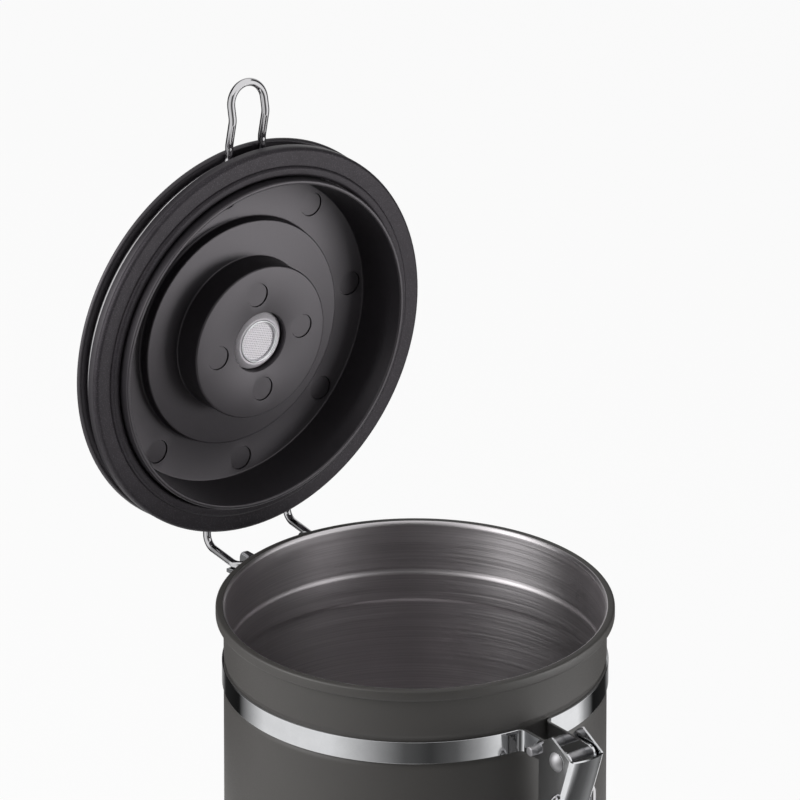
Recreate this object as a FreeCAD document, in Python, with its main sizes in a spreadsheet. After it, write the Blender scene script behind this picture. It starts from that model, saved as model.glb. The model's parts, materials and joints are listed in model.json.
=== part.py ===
import FreeCAD, Part
import math
import os
import Sketcher
from FreeCAD import Placement, Rotation, Vector

# Coffee canister with a one-way valve in its lid, in millimetres.
# The origin is the centre of the base, +Z is up, the latch faces -Y and the hinge is at +Y.
# The lid stands open. Its pieces are drawn about the lid's own axis, with zero at the seal's plane,
# and are turned up about the hinge at the end.

SIZES = {
    # can: a steel tube with a rolled lip and a groove for the band
    "can_height": 165, "can_radius": 60.5, "can_wall": 0.6,
    "lip_overhang": 2.5, "lip_height": 3.6, "lip_round": 0.7, "lip_land": 0.8, "lip_flare": 4,
    "groove_depth": 0.5, "groove_slope": 1.2, "groove_margin": 1.8,
    # base: a flat pressed disc with a turned-up edge and one stiffening bead
    "base_sheet": 0.8, "base_skirt": 2, "base_bead_inset": 9.9, "base_bead_width": 3, "base_bead_rise": 1.2,
    # fits: a welded or pressed seat, a running pin, free space between moving faces, spare length of a cut
    "seat_gap": 0.05, "pin_gap": 0.05, "free_gap": 0.3, "overrun": 5,
    # band: a strap in the groove whose ends are bent out as two ears; they reach out from the can's side
    "band_drop": 18.7, "band_width": 7.5, "band_sheet": 1, "band_bend": 2.2,
    "ear_out": 25, "ear_tip_round": 3.2, "ear_clearance": 0.35,
    "clamp_pin_out": 8.5, "clamp_pin_radius": 1.65, "clamp_pin_tail": 3.5, "clamp_pin_end": 1,
    "clamp_pin_chamfer": 0.4,
    # latch lever: a stamped channel, given from its pivot
    "lever_width": 13, "lever_sheet": 0.9, "lever_pivot_out": 19.5, "lever_fold": 1.4,
    "lever_front": 9, "lever_front_rise": 2.2, "lever_back_top": 2.3, "lever_back_rise": 7.5,
    "lever_depth": 9, "lever_shoulder": 2.8, "lever_waist": 14.8, "lever_length": 42.8,
    "lever_tip_set": 9, "lever_tip_depth": 2.6, "lever_bow": 300, "lever_shoulder_round": 11,
    "lever_tip_round": 3.4,
    "rivet_radius": 1.5, "rivet_head_radius": 3.25, "rivet_head_height": 1.6, "rivet_head_gap": 0.1,
    # closing link: a wire loop hung in the lever
    "link_wire": 2.2, "link_drop": 12.4, "link_length": 44, "link_hook": 3.6, "link_hook_bend": 1.6,
    "link_bend": 4.5,
    # rear bracket: a stamped channel on the band
    "bracket_width": 24.4, "bracket_sheet": 1.2, "bracket_bend": 2, "bracket_ear_back": 4,
    "bracket_ear_rise": 3.8, "bracket_top_round": 3.4, "bracket_foot_round": 7,
    "lug_reach": 5.3, "lug_length": 3, "lug_sheet": 1.2,
    # hinge: behind the lip and below it
    "hinge_out": 8, "hinge_drop": 9.3, "lid_open_angle": 90,
    # bail: one bent wire round the lid, from hinge pin to hinge pin; loop and legs stand out from the cover
    "bail_wire": 2.6, "bail_fit": 0.2, "bail_bend": 3, "leg_spread": 32, "leg_bend": 4, "leg_out": 4.1,
    "pin_inset": 3.2, "loop_spread": 13, "loop_out": 22.8, "loop_dip": 2, "loop_dip_out": 12.1,
    "loop_neck_out": 2.6, "loop_bend": 6,
    # lid seal
    "seal_gap": 0.3, "gasket_drop": 1.5, "gasket_land": 0.3, "gasket_step": 0.9, "gasket_lobe": 1.7,
    "gasket_lobe_drop": 2.6, "gasket_inner_drop": 1.6, "gasket_back": 0.2, "gasket_fit": 0.3,
    # lid plug: a moulded cup with a platform and a hub; depths are above the seal's plane, drops below it
    "plug_clearance": 4.5, "plug_rim": 1.4, "plug_drop": 5.5, "plug_wall": 1.8, "plug_draft": 2.4,
    "floor_depth": 11, "platform_radius": 37.7, "platform_depth": 7.3, "hub_radius": 25.6, "hub_round": 0.6,
    "hub_drop": 2.4,
    "flange_overhang": 1.7, "flange_top": 2.8, "wire_groove_depth": 4.5, "wire_groove_width": 4.2,
    "spigot_wall": 2,
    "mark_radius": 4, "mark_depth": 0.4, "mark_clock": 87, "hub_mark_ring": 16.6, "floor_mark_ring": 46.3,
    # lid cover: a cap with sloped shoulders that closes the wire's groove from above
    "cover_overhang": 0.2, "cover_foot_height": 2, "cover_round": 1, "cover_edge": 1.2,
    "cover_slope": 9, "cover_slope_round": 30, "cover_hollow_edge": 3.6, "cover_hollow_slope": 6.9,
    "cover_sheet": 2.2, "cover_room": 0.6, "cover_fit": 0.15,
    # valve in the hub, from the inside out; the recess is measured from the hub's face
    "valve_hole_radius": 10, "valve_recess": 2.5, "valve_ledge": 5, "valve_ledge_sheet": 1.6,
    "valve_boss_wall": 2, "housing_fit": 0.2, "stem_bore": 5.2, "stem_wall": 1.15, "stem_fit": 0.15,
    "web_depth": 8, "web_sheet": 1, "vent_radius": 0.8, "vent_ring": 2.6,
    "housing_crown": 1.9, "housing_lip": 0.6,
    "filter_seat_radius": 7.2, "filter_seat_depth": 1, "filter_sheet": 0.3, "filter_window": 6.2,
    "filter_ring_proud": 0.3, "filter_hole_radius": 0.4, "filter_hole_step": 1.7,
    "membrane_radius": 4.6, "membrane_sheet": 0.5, "membrane_lift": 0.6,
    "cap_radius": 10.6, "cap_sheet": 1.2, "cap_fit": 0.2, "cap_stem_fit": 0.2, "cap_stem_wall": 1.2,
}
# Counts of what repeats round an axis
HUB_MARKS, FLOOR_MARKS, VENTS, FILTER_ROWS, FILTER_ROW_HOLES = 4, 8, 6, 3, 6
FULL_TURN = 360
# Radius of a soft rounding as a share of its chord
LOBE_SHARE = 0.8

doc = FreeCAD.newDocument("canister")
sheet = doc.addObject("Spreadsheet::Sheet", "dims")
for row, (alias, number) in enumerate(SIZES.items(), start=1):
    sheet.set(f"A{row}", alias)
    sheet.set(f"B{row}", str(number))
    sheet.setAlias(f"B{row}", alias)
doc.recompute()


class Length:
    """A length worked out from the sheet: its number, and the expression that gives it."""

    def __init__(self, number, text):
        self.number = number
        self.text = text

    def __add__(self, other):
        other = length(other)
        return Length(self.number + other.number, f"({self.text} + {other.text})")

    def __sub__(self, other):
        other = length(other)
        return Length(self.number - other.number, f"({self.text} - {other.text})")

    def __mul__(self, other):
        other = length(other)
        return Length(self.number * other.number, f"({self.text} * {other.text})")

    def __truediv__(self, other):
        other = length(other)
        return Length(self.number / other.number, f"({self.text} / {other.text})")

    def __neg__(self):
        return Length(-self.number, f"(0 - {self.text})")


def length(value):
    return value if isinstance(value, Length) else Length(value, repr(value))


def root(value):
    return Length(math.sqrt(value.number), f"sqrt({value.text})")


class Dimensions:
    """The cells of the sheet by their names."""

    def __getattr__(self, alias):
        return Length(float(sheet.get(alias)), f"dims.{alias}")


dim = Dimensions()


def mirrored(corners):
    """The same outline on the other side of the vertical axis, walked backwards."""
    flipped = []
    ends = [corner[:2] for corner in corners]
    radii = [corner[2] if len(corner) > 2 else None for corner in corners]
    for place in range(len(corners) - 1, -1, -1):
        across, up = ends[place]
        radius = radii[place + 1] if place + 1 < len(corners) else None
        corner = (-across, up)
        flipped.append(corner if radius is None else corner + (radius,))
    return flipped


def origin_plane(body, role):
    return next(item for item in body.Origin.OriginFeatures if item.Role == role)


def new_sketch(body, name, plane, depth=None, turn=0):
    sketch = body.newObject("Sketcher::SketchObject", name)
    sketch.AttachmentSupport = (origin_plane(body, plane), [""])
    sketch.MapMode = "FlatFace"
    sketch.AttachmentOffset = Placement(Vector(), Rotation(Vector(0, 0, 1), turn))
    if depth is not None:
        sketch.setExpression("AttachmentOffset.Base.z", depth.text)
    return sketch


def arc_between(start, end, radius):
    """Arc under a half circle; a positive radius turns left on the way, a negative one right."""
    chord = end - start
    side = Vector(-chord.y, chord.x, 0).normalize() * math.copysign(1, radius)
    rise = math.sqrt(max(radius * radius - chord.Length ** 2 / 4, 0))
    centre = (start + end) / 2 + side * rise
    first, last = (start, end) if radius > 0 else (end, start)
    begin = math.atan2(first.y - centre.y, first.x - centre.x)
    finish = math.atan2(last.y - centre.y, last.x - centre.x)
    circle = Part.Circle(centre, Vector(0, 0, 1), abs(radius))
    return Part.ArcOfCircle(circle, begin, finish if finish > begin else finish + math.tau)


def fix_point(sketch, edge, end, across, up):
    """Hold one end of an edge at its place, by two named distances from the sketch's origin."""
    for kind, value, axis in (("DistanceX", across, -2), ("DistanceY", up, -1)):
        if not isinstance(value, Length):
            sketch.addConstraint(Sketcher.Constraint("PointOnObject", edge, end, axis))
            continue
        index = sketch.addConstraint(Sketcher.Constraint(kind, -1, 1, edge, end, value.number))
        sketch.setExpression(f"Constraints[{index}]", value.text)


def draw(sketch, corners, closed=True):
    """Outline through corners (across, up) or (across, up, radius of the arc that leads there)."""
    points = [Vector(length(corner[0]).number, length(corner[1]).number, 0) for corner in corners]
    count = len(corners)
    edges = []
    for place in range(count if closed else count - 1):
        after = (place + 1) % count
        bend = corners[after][2] if len(corners[after]) > 2 else None
        if bend is None:
            edge = sketch.addGeometry(Part.LineSegment(points[place], points[after]))
            edges.append((edge, 1, 2))
            continue
        edge = sketch.addGeometry(arc_between(points[place], points[after], bend.number))
        edges.append((edge, 1, 2) if bend.number > 0 else (edge, 2, 1))
        index = sketch.addConstraint(Sketcher.Constraint("Radius", edge, abs(bend.number)))
        sketch.setExpression(f"Constraints[{index}]", f"abs({bend.text})")
    for place, (edge, start, end) in enumerate(edges):
        fix_point(sketch, edge, start, *corners[place][:2])
        if closed or place + 1 < len(edges):
            following, its_start, _ = edges[(place + 1) % len(edges)]
            sketch.addConstraint(Sketcher.Constraint("Coincident", edge, end, following, its_start))
        else:
            fix_point(sketch, edge, end, *corners[-1][:2])
    return sketch


def draw_circle(sketch, across, up, radius):
    centre = Vector(length(across).number, length(up).number, 0)
    edge = sketch.addGeometry(Part.Circle(centre, Vector(0, 0, 1), radius.number))
    fix_point(sketch, edge, 3, across, up)
    index = sketch.addConstraint(Sketcher.Constraint("Radius", edge, radius.number))
    sketch.setExpression(f"Constraints[{index}]", radius.text)
    return sketch


def new_body(name):
    return doc.addObject("PartDesign::Body", name)


def turned(name, corners):
    """Solid of revolution about the vertical axis."""
    body = new_body(name)
    profile = draw(new_sketch(body, f"{name}_profile", "XZ_Plane"), corners)
    feature = body.newObject("PartDesign::Revolution", f"{name}_turned")
    feature.Profile = profile
    feature.ReferenceAxis = (profile, ["V_Axis"])
    feature.Angle = FULL_TURN
    doc.recompute()
    return body


def pad(body, sketch, thickness, symmetric=False):
    feature = body.newObject("PartDesign::Pad", f"{sketch.Name}_pad")
    feature.Profile = sketch
    feature.SideType = "Symmetric" if symmetric else "One side"
    feature.setExpression("Length", thickness.text)
    doc.recompute()
    return feature


def cut(body, sketch, thickness=None, symmetric=False, upwards=False):
    """Pocket, right through if it has no thickness; it has to take something away."""
    before = body.Shape.Volume
    feature = body.newObject("PartDesign::Pocket", f"{sketch.Name}_cut")
    feature.Profile = sketch
    feature.SideType = "Symmetric" if symmetric else "One side"
    feature.Reversed = upwards
    feature.Type = "ThroughAll" if thickness is None else "Length"
    if thickness is not None:
        feature.setExpression("Length", thickness.text)
    doc.recompute()
    if not body.Shape.Volume < before:
        raise RuntimeError(f"{sketch.Name} cuts nothing")
    return feature


def round_edges(body, name, radius, chosen):
    """Fillet the edges that a test picks."""
    tip = body.Tip
    names = [f"Edge{place}" for place, edge in enumerate(tip.Shape.Edges, start=1) if chosen(edge)]
    if not names:
        raise RuntimeError(f"{name} finds no edge")
    feature = body.newObject("PartDesign::Fillet", name)
    feature.Base = (tip, names)
    feature.setExpression("Radius", radius.text)
    doc.recompute()
    return feature


def repeat(body, feature, sketch, count):
    pattern = body.newObject("PartDesign::PolarPattern", f"{feature.Name}_ring")
    pattern.Originals = [feature]
    pattern.Axis = (sketch, ["N_Axis"])
    pattern.Angle = FULL_TURN
    pattern.Occurrences = count
    body.Tip = pattern
    doc.recompute()
    return pattern


def near(first, second):
    return abs(first - second) < dim.seat_gap.number


def holes_across(body, name, *places):
    """Round holes right through from side to side; each place is (forward, up, radius)."""
    sketch = new_sketch(body, name, "YZ_Plane")
    for along, up, radius in places:
        draw_circle(sketch, along, up, radius)
    return cut(body, sketch, symmetric=True)


# Heights and places that several pieces share
bore = dim.can_radius - dim.can_wall
lip_radius = dim.can_radius + dim.lip_overhang
band_bottom = dim.can_height - dim.band_drop - dim.band_width
band_outer = dim.can_radius - dim.groove_depth + dim.seat_gap + dim.band_sheet
ear_outer = dim.lever_width / 2 - dim.lever_sheet - dim.ear_clearance
ear_reach = dim.can_radius + dim.ear_out
clamp_pin_reach = dim.can_radius + dim.clamp_pin_out
pivot_reach = dim.can_radius + dim.lever_pivot_out
pivot_height = band_bottom + dim.band_width / 2
hinge_reach = lip_radius + dim.hinge_out
hinge_height = dim.can_height - dim.hinge_drop
lid_rise = dim.gasket_drop + dim.seal_gap
plug_radius = bore - dim.plug_clearance
flange_radius = lip_radius + dim.flange_overhang
spigot_radius = flange_radius - dim.wire_groove_depth
wire_level = dim.flange_top + dim.wire_groove_width / 2
cover_radius = flange_radius + dim.cover_overhang
cover_foot = dim.flange_top + dim.wire_groove_width
cover_foot_top = cover_foot + dim.cover_foot_height
cover_under = dim.floor_depth + dim.plug_wall + dim.cover_room
cover_top = cover_under + dim.cover_sheet
stem_radius = dim.stem_bore + dim.stem_wall
stem_hole = stem_radius + dim.stem_fit
hub_face = -dim.hub_drop
housing_face = dim.valve_recess - dim.hub_drop
filter_face = housing_face - dim.housing_crown
filter_seat = filter_face + dim.filter_seat_depth
web_top = dim.web_depth + dim.web_sheet
membrane_top = web_top + dim.seat_gap + dim.membrane_sheet


def can_body():
    """Tube with a rolled lip and, under it, a shallow groove that stands proud inside."""
    inner = bore
    low = band_bottom - dim.groove_margin
    high = band_bottom + dim.band_width + dim.groove_margin
    top = dim.can_height
    under_lip = top - dim.lip_height
    return turned("can_body", [
        (inner, 0), (dim.can_radius, 0), (dim.can_radius, low),
        (dim.can_radius - dim.groove_depth, low + dim.groove_slope),
        (dim.can_radius - dim.groove_depth, high - dim.groove_slope),
        (dim.can_radius, high), (dim.can_radius, under_lip),
        (lip_radius - dim.lip_round, under_lip),
        (lip_radius, under_lip + dim.lip_round, dim.lip_round),
        (lip_radius, top - dim.lip_round),
        (lip_radius - dim.lip_round, top, dim.lip_round),
        (lip_radius - dim.lip_round - dim.lip_land, top),
        (inner, under_lip, dim.lip_flare), (inner, high),
        (inner - dim.groove_depth, high - dim.groove_slope),
        (inner - dim.groove_depth, low + dim.groove_slope), (inner, low),
    ])


def base_plate():
    """Flat disc with a skirt welded inside the tube and one raised bead."""
    outer = bore - dim.seat_gap
    bead = bore - dim.base_bead_inset
    start = bead - dim.base_bead_width / 2
    end = bead + dim.base_bead_width / 2
    rise = dim.base_bead_rise
    raised = dim.base_sheet + rise
    return turned("base_plate", [
        (0, 0), (start - rise, 0), (start, rise), (end, rise), (end + rise, 0), (outer, 0),
        (outer, dim.base_skirt), (outer - dim.base_sheet, dim.base_skirt),
        (outer - dim.base_sheet, dim.base_sheet), (end + rise, dim.base_sheet), (end, raised),
        (start, raised), (start - rise, dim.base_sheet), (0, dim.base_sheet),
    ])


def neck_band():
    """Strap round the groove; both ends turn out through a bend into flat, round-tipped ears."""
    inner = band_outer - dim.band_sheet
    reach = band_outer + dim.band_bend
    bend_across = ear_outer + dim.band_bend
    bend_along = -root(reach * reach - bend_across * bend_across)
    ear_inner = ear_outer - dim.band_sheet

    def on_strap(radius):
        return bend_across * radius / reach, bend_along * radius / reach

    outside = [
        (ear_outer, -ear_reach), (ear_outer, bend_along),
        on_strap(band_outer) + (-dim.band_bend,), (0, band_outer, band_outer),
    ]
    inside = [
        (0, inner), on_strap(inner) + (-inner,),
        (ear_inner, bend_along, dim.band_bend + dim.band_sheet), (ear_inner, -ear_reach),
    ]
    body = new_body("neck_band")
    sketch = new_sketch(body, "band_outline", "XY_Plane")
    draw(sketch, outside + mirrored(outside)[1:] + mirrored(inside) + inside[1:])
    pad(body, sketch, dim.band_width)
    reach_number = ear_reach.number
    round_edges(body, "ear_tips", dim.ear_tip_round, lambda edge: all(
        near(point.Point.y, -reach_number) for point in edge.Vertexes) and near(edge.tangentAt(0).x ** 2, 1))
    middle = dim.band_width / 2
    holes_across(
        body, "ear_holes",
        (-pivot_reach, middle, dim.rivet_radius + dim.pin_gap),
        (-clamp_pin_reach, middle, dim.clamp_pin_radius + dim.pin_gap))
    body.setExpression("Placement.Base.z", band_bottom.text)
    return body


def lay_across(body, reach, height):
    """Turn a piece drawn about the vertical axis to lie along X in front of the can."""
    body.Placement = Placement(Vector(0, -reach.number, height.number), Rotation(Vector(0, 1, 0), 90))
    return body


def clamp_pin():
    """Pin that draws the two ears together, longer on one side."""
    low = -(ear_outer + dim.clamp_pin_tail)
    high = ear_outer + dim.clamp_pin_end
    neck = dim.clamp_pin_radius - dim.clamp_pin_chamfer
    body = turned("clamp_pin", [
        (0, low), (neck, low), (dim.clamp_pin_radius, low + dim.clamp_pin_chamfer),
        (dim.clamp_pin_radius, high - dim.clamp_pin_chamfer), (neck, high), (0, high),
    ])
    return lay_across(body, clamp_pin_reach, pivot_height)


def lever_rivet():
    """Shank through ears and lever with a domed head on each side."""
    seat = dim.lever_width / 2 + dim.rivet_head_gap
    crest = seat + dim.rivet_head_height
    head = dim.rivet_head_radius
    dome = (head * head + dim.rivet_head_height * dim.rivet_head_height) / (dim.rivet_head_height * 2)
    body = turned("lever_rivet", [
        (0, -crest), (head, -seat, dome), (dim.rivet_radius, -seat),
        (dim.rivet_radius, seat), (head, seat), (0, crest, dome),
    ])
    return lay_across(body, pivot_reach, pivot_height)


def latch_lever():
    """Channel folded from sheet: a bowed front, two cheeks with a round shoulder, open behind."""
    # the sketch's first axis points backwards from the pivot
    rise = dim.lever_front_rise + dim.lever_length
    slope = dim.lever_front + dim.lever_tip_set
    front_line = root(rise * rise + slope * slope)
    inset_back = dim.lever_sheet * rise / front_line
    inset_up = dim.lever_sheet * slope / front_line
    body = new_body("latch_lever")
    cheeks = new_sketch(body, "lever_cheeks", "YZ_Plane")
    draw(cheeks, [
        (-dim.lever_front, dim.lever_front_rise),
        (dim.lever_tip_set, -dim.lever_length, dim.lever_bow),
        (dim.lever_tip_set + dim.lever_tip_depth, -dim.lever_length),
        (dim.lever_depth, -dim.lever_waist), (dim.lever_depth, -dim.lever_shoulder),
        (dim.lever_back_top, dim.lever_back_rise, dim.lever_shoulder_round),
    ])
    pad(body, cheeks, dim.lever_width, symmetric=True)
    bow = dim.lever_bow.number
    round_edges(body, "lever_folds", dim.lever_fold, lambda edge: (
        hasattr(edge.Curve, "Radius") and near(edge.Curve.Radius, bow)))
    channel = new_sketch(body, "lever_channel", "YZ_Plane")
    top = dim.lever_back_rise + dim.overrun
    bottom = -dim.lever_length - dim.overrun
    back = dim.lever_tip_set + dim.lever_tip_depth + dim.overrun
    draw(channel, [
        (inset_back - dim.lever_front, dim.lever_front_rise + inset_up),
        (dim.lever_tip_set + inset_back, inset_up - dim.lever_length, dim.lever_bow - dim.lever_sheet),
        (dim.lever_tip_set + inset_back, bottom), (back, bottom), (back, top),
        (inset_back - dim.lever_front, top),
    ])
    cut(body, channel, dim.lever_width - dim.lever_sheet * 2, symmetric=True)
    corners = new_sketch(body, "lever_corners", "XZ_Plane")
    half = dim.lever_width / 2
    rounding = dim.lever_tip_round
    for side in (1, -1):
        draw(corners, [
            ((half - rounding) * side, -dim.lever_length),
            (half * side, rounding - dim.lever_length, rounding * side),
            ((half + dim.overrun) * side, rounding - dim.lever_length),
            ((half + dim.overrun) * side, bottom), ((half - rounding) * side, bottom),
        ])
    cut(body, corners, symmetric=True)
    holes_across(
        body, "lever_holes",
        (0, 0, dim.rivet_radius + dim.pin_gap),
        (0, -dim.link_drop, dim.link_wire / 2 + dim.pin_gap))
    body.setExpression("Placement.Base.y", (-pivot_reach).text)
    body.setExpression("Placement.Base.z", pivot_height.text)
    return body


def closing_link():
    """Wire loop that hangs from the lever's cheeks, its ends hooked in from outside."""
    half = dim.lever_width / 2 + dim.free_gap + dim.link_wire / 2
    body = new_body("closing_link")
    hook, bend, drop = dim.link_hook_bend, dim.link_bend, dim.link_length
    path = new_sketch(body, "link_path", "XZ_Plane")
    right = [
        (dim.link_hook, 0), (half - hook, 0), (half, -hook, -hook),
        (half, bend - drop), (half - bend, -drop, -bend),
    ]
    left = [(-half + bend, -drop), (-half, bend - drop, -bend), (-half, -hook), (hook - half, 0, -hook),
            (-dim.link_hook, 0)]
    draw(path, right + left, closed=False)
    section = new_sketch(body, "link_section", "YZ_Plane", depth=dim.link_hook)
    draw_circle(section, 0, 0, dim.link_wire / 2)
    pipe = body.newObject("PartDesign::AdditivePipe", "link_pipe")
    pipe.Profile = section
    pipe.Spine = path
    doc.recompute()
    body.setExpression("Placement.Base.y", (-pivot_reach).text)
    body.setExpression("Placement.Base.z", (pivot_height - dim.link_drop).text)
    return body


def hinge_bracket():
    """Channel welded to the back of the band: two eared cheeks, each with a lug that stops the bail."""
    sheet_inner = band_outer + dim.seat_gap
    sheet_outer = sheet_inner + dim.bracket_sheet
    half = dim.bracket_width / 2
    bend_inside = dim.bracket_bend - dim.bracket_sheet
    reach = sheet_inner + dim.bracket_bend
    bend_across = half - dim.bracket_bend
    bend_along = root(reach * reach - bend_across * bend_across)
    tip = hinge_reach + dim.bracket_ear_back
    rise = hinge_height + dim.bracket_ear_rise - band_bottom

    def on_web(radius):
        return bend_across * radius / reach, bend_along * radius / reach

    right = [
        (0, sheet_inner), on_web(sheet_inner) + (-sheet_inner,), (half, bend_along, dim.bracket_bend),
        (half, tip), (half - dim.bracket_sheet, tip), (half - dim.bracket_sheet, bend_along),
        on_web(sheet_outer) + (-bend_inside,), (0, sheet_outer, sheet_outer),
    ]
    body = new_body("hinge_bracket")
    outline = new_sketch(body, "bracket_outline", "XY_Plane")
    draw(outline, right[1:] + mirrored(right)[1:])
    pad(body, outline, rise)
    tip_number, rise_number = tip.number, rise.number
    for name, radius, level in (("ear_tops", dim.bracket_top_round, rise_number),
                                ("ear_feet", dim.bracket_foot_round, 0)):
        round_edges(body, name, radius, lambda edge, level=level: all(
            near(point.Point.y, tip_number) and near(point.Point.z, level) for point in edge.Vertexes))
    lug_top = hinge_height - dim.bail_wire / 2 - dim.free_gap - band_bottom
    lugs = new_sketch(body, "bracket_lugs", "XY_Plane", depth=lug_top - dim.lug_sheet)
    near_end = tip - dim.lug_length
    for side in (1, -1):
        root_across = (half - dim.bracket_sheet) * side
        tip_across = (half + dim.lug_reach) * side
        draw(lugs, [(root_across, near_end), (tip_across, near_end), (tip_across, tip), (root_across, tip)])
    pad(body, lugs, dim.lug_sheet)
    holes_across(body, "hinge_holes", (
        hinge_reach, hinge_height - band_bottom, dim.bail_wire / 2 + dim.pin_gap))
    body.setExpression("Placement.Base.z", band_bottom.text)
    return body


def rounded_run(corners, radii):
    """Straight runs through corners, with a tangent arc at each inner corner."""
    pieces = []
    start = corners[0]
    for corner, after, radius in zip(corners[1:], corners[2:], radii):
        before = (start - corner).normalize()
        onward = (after - corner).normalize()
        half_angle = before.getAngle(onward) / 2
        set_back = radius / math.tan(half_angle)
        begin = corner + before * set_back
        finish = corner + onward * set_back
        inward = (before + onward).normalize()
        middle = corner + inward * (radius / math.sin(half_angle) - radius)
        pieces += [(start, begin), (begin, middle, finish)]
        start = finish
    return pieces + [(start, corners[-1])]


def turn_onto_ring(ring, across, bend, along_sign):
    """Arc from a straight leg onto the ring: its end on the leg, its middle and its end on the ring."""
    centre = Vector(across + bend, along_sign * math.sqrt((ring + bend) ** 2 - (across + bend) ** 2), 0)
    on_ring = centre * (ring / (ring + bend))
    on_leg = Vector(across, centre.y, 0)
    middle = centre + ((on_ring + on_leg) / 2 - centre).normalize() * bend
    return on_leg, middle, on_ring


def bail_wire():
    """One wire: a hinge pin, a leg, half the ring, the latch loop, and the same back again."""
    level = Vector(0, 0, wire_level.number)
    hinge_level = -(dim.hinge_drop + lid_rise).number
    ring = (spigot_radius + dim.bail_wire / 2 + dim.bail_fit).number
    leg = dim.leg_spread.number / 2
    loop = dim.loop_spread.number / 2
    pin_start = (dim.bracket_width / 2 - dim.pin_inset).number
    rear = turn_onto_ring(ring, leg, dim.bail_bend.number, 1)
    front = turn_onto_ring(ring, loop, dim.bail_bend.number, -1)
    rear = [point + level for point in rear]
    front = [point + level for point in front]
    hinge = hinge_reach.number
    leg_run = rounded_run(
        [Vector(pin_start, hinge, hinge_level), Vector(leg, hinge, hinge_level),
         Vector(leg, (cover_radius + dim.leg_out).number, level.z), rear[0]],
        [dim.bail_bend.number, dim.leg_bend.number])
    dip = Vector(loop, -(cover_radius + dim.loop_dip_out).number, level.z - dim.loop_dip.number)
    tip = Vector(0, -(cover_radius + dim.loop_out).number, level.z)
    outward = (tip - Vector(0, dip.y, dip.z)).normalize()
    loop_end = tip - outward * loop + Vector(loop, 0, 0)
    loop_run = rounded_run(
        [front[0], Vector(loop, -(cover_radius + dim.loop_neck_out).number, level.z), dip, loop_end],
        [dim.loop_bend.number, dim.loop_bend.number])
    ring_half = (rear[2], Vector(ring, 0, level.z), front[2])
    half = leg_run + [tuple(rear), ring_half, tuple(reversed(front))] + loop_run

    def flip(piece):
        return tuple(Vector(-point.x, point.y, point.z) for point in reversed(piece))

    pieces = half + [(loop_end, tip, flip((loop_end,))[0])] + [flip(piece) for piece in reversed(half)]
    edges = [Part.LineSegment(*piece).toShape() if len(piece) == 2 else Part.Arc(*piece).toShape()
             for piece in pieces]
    path = Part.Wire(edges)
    radius = dim.bail_wire.number / 2
    section = Part.Wire([Part.Circle(pieces[0][0], Vector(1, 0, 0), radius).toShape()])
    wire = doc.addObject("Part::Feature", "bail_wire")
    wire.Shape = path.makePipeShell([section], True, False)
    expected = math.pi * radius * radius * path.Length
    print(f"bail wire: length {path.Length:.1f}, volume share of section times length "
          f"{wire.Shape.Volume / expected:.4f}")
    return wire


def lobe_radius(across, up):
    """Radius of a soft rounding between two corners that lie so far apart."""
    return root(across * across + up * up) * LOBE_SHARE


def lid_gasket():
    """Rubber ring under the flange: a flat land over the lip and a deeper lobe inside the mouth."""
    inner = plug_radius + dim.gasket_fit
    lobe = plug_radius + dim.gasket_lobe
    low = dim.gasket_lobe_drop
    step = bore - dim.gasket_step
    land = lip_radius + dim.gasket_land
    return turned("lid_gasket", [
        (inner, dim.gasket_back), (inner, -dim.gasket_inner_drop),
        (lobe, -low, lobe_radius(lobe - inner, low - dim.gasket_inner_drop)),
        (step, -dim.gasket_drop, lobe_radius(step - lobe, low - dim.gasket_drop)),
        (land, -dim.gasket_drop), (flange_radius, 0, lobe_radius(flange_radius - land, dim.gasket_drop)),
        (flange_radius, dim.gasket_back),
    ])


def lid_plug():
    """Moulded cup: drafted wall, deep floor, platform and hub, with the flange and a spigot outside."""
    wall = dim.plug_wall
    rim_inner = plug_radius - dim.plug_rim
    floor_radius = rim_inner - dim.plug_draft
    boss = dim.valve_hole_radius + dim.valve_boss_wall
    ledge_top = dim.valve_ledge + dim.valve_ledge_sheet
    floor_top = dim.floor_depth + wall
    platform_top = dim.platform_depth + wall
    spigot_inner = spigot_radius - dim.spigot_wall
    body = turned("lid_plug", [
        (stem_hole, dim.valve_ledge), (dim.valve_hole_radius, dim.valve_ledge),
        (dim.valve_hole_radius, hub_face), (dim.hub_radius - dim.hub_round, hub_face),
        (dim.hub_radius, hub_face + dim.hub_round, dim.hub_round),
        (dim.hub_radius, dim.platform_depth), (dim.platform_radius, dim.platform_depth),
        (dim.platform_radius, dim.floor_depth), (floor_radius, dim.floor_depth),
        (rim_inner, -dim.plug_drop), (plug_radius, -dim.plug_drop), (plug_radius, dim.gasket_back),
        (flange_radius, dim.gasket_back), (flange_radius, dim.flange_top),
        (spigot_radius, dim.flange_top), (spigot_radius, cover_foot_top),
        (spigot_inner, cover_foot_top), (spigot_inner, dim.flange_top),
        (plug_radius, dim.flange_top), (floor_radius + wall, floor_top),
        (dim.platform_radius - wall, floor_top), (dim.platform_radius - wall, platform_top),
        (dim.hub_radius - wall, platform_top), (dim.hub_radius - wall, hub_face + wall),
        (boss, hub_face + wall), (boss, ledge_top), (stem_hole, ledge_top),
    ])
    clock = dim.mark_clock.number
    for name, ring, depth, count in (("hub_mark", dim.hub_mark_ring, hub_face, HUB_MARKS),
                                     ("floor_mark", dim.floor_mark_ring, dim.floor_depth, FLOOR_MARKS)):
        mark = draw_circle(new_sketch(body, name, "XY_Plane", depth, clock), ring, 0, dim.mark_radius)
        repeat(body, cut(body, mark, dim.mark_depth, upwards=True), mark, count)
    return body


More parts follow.
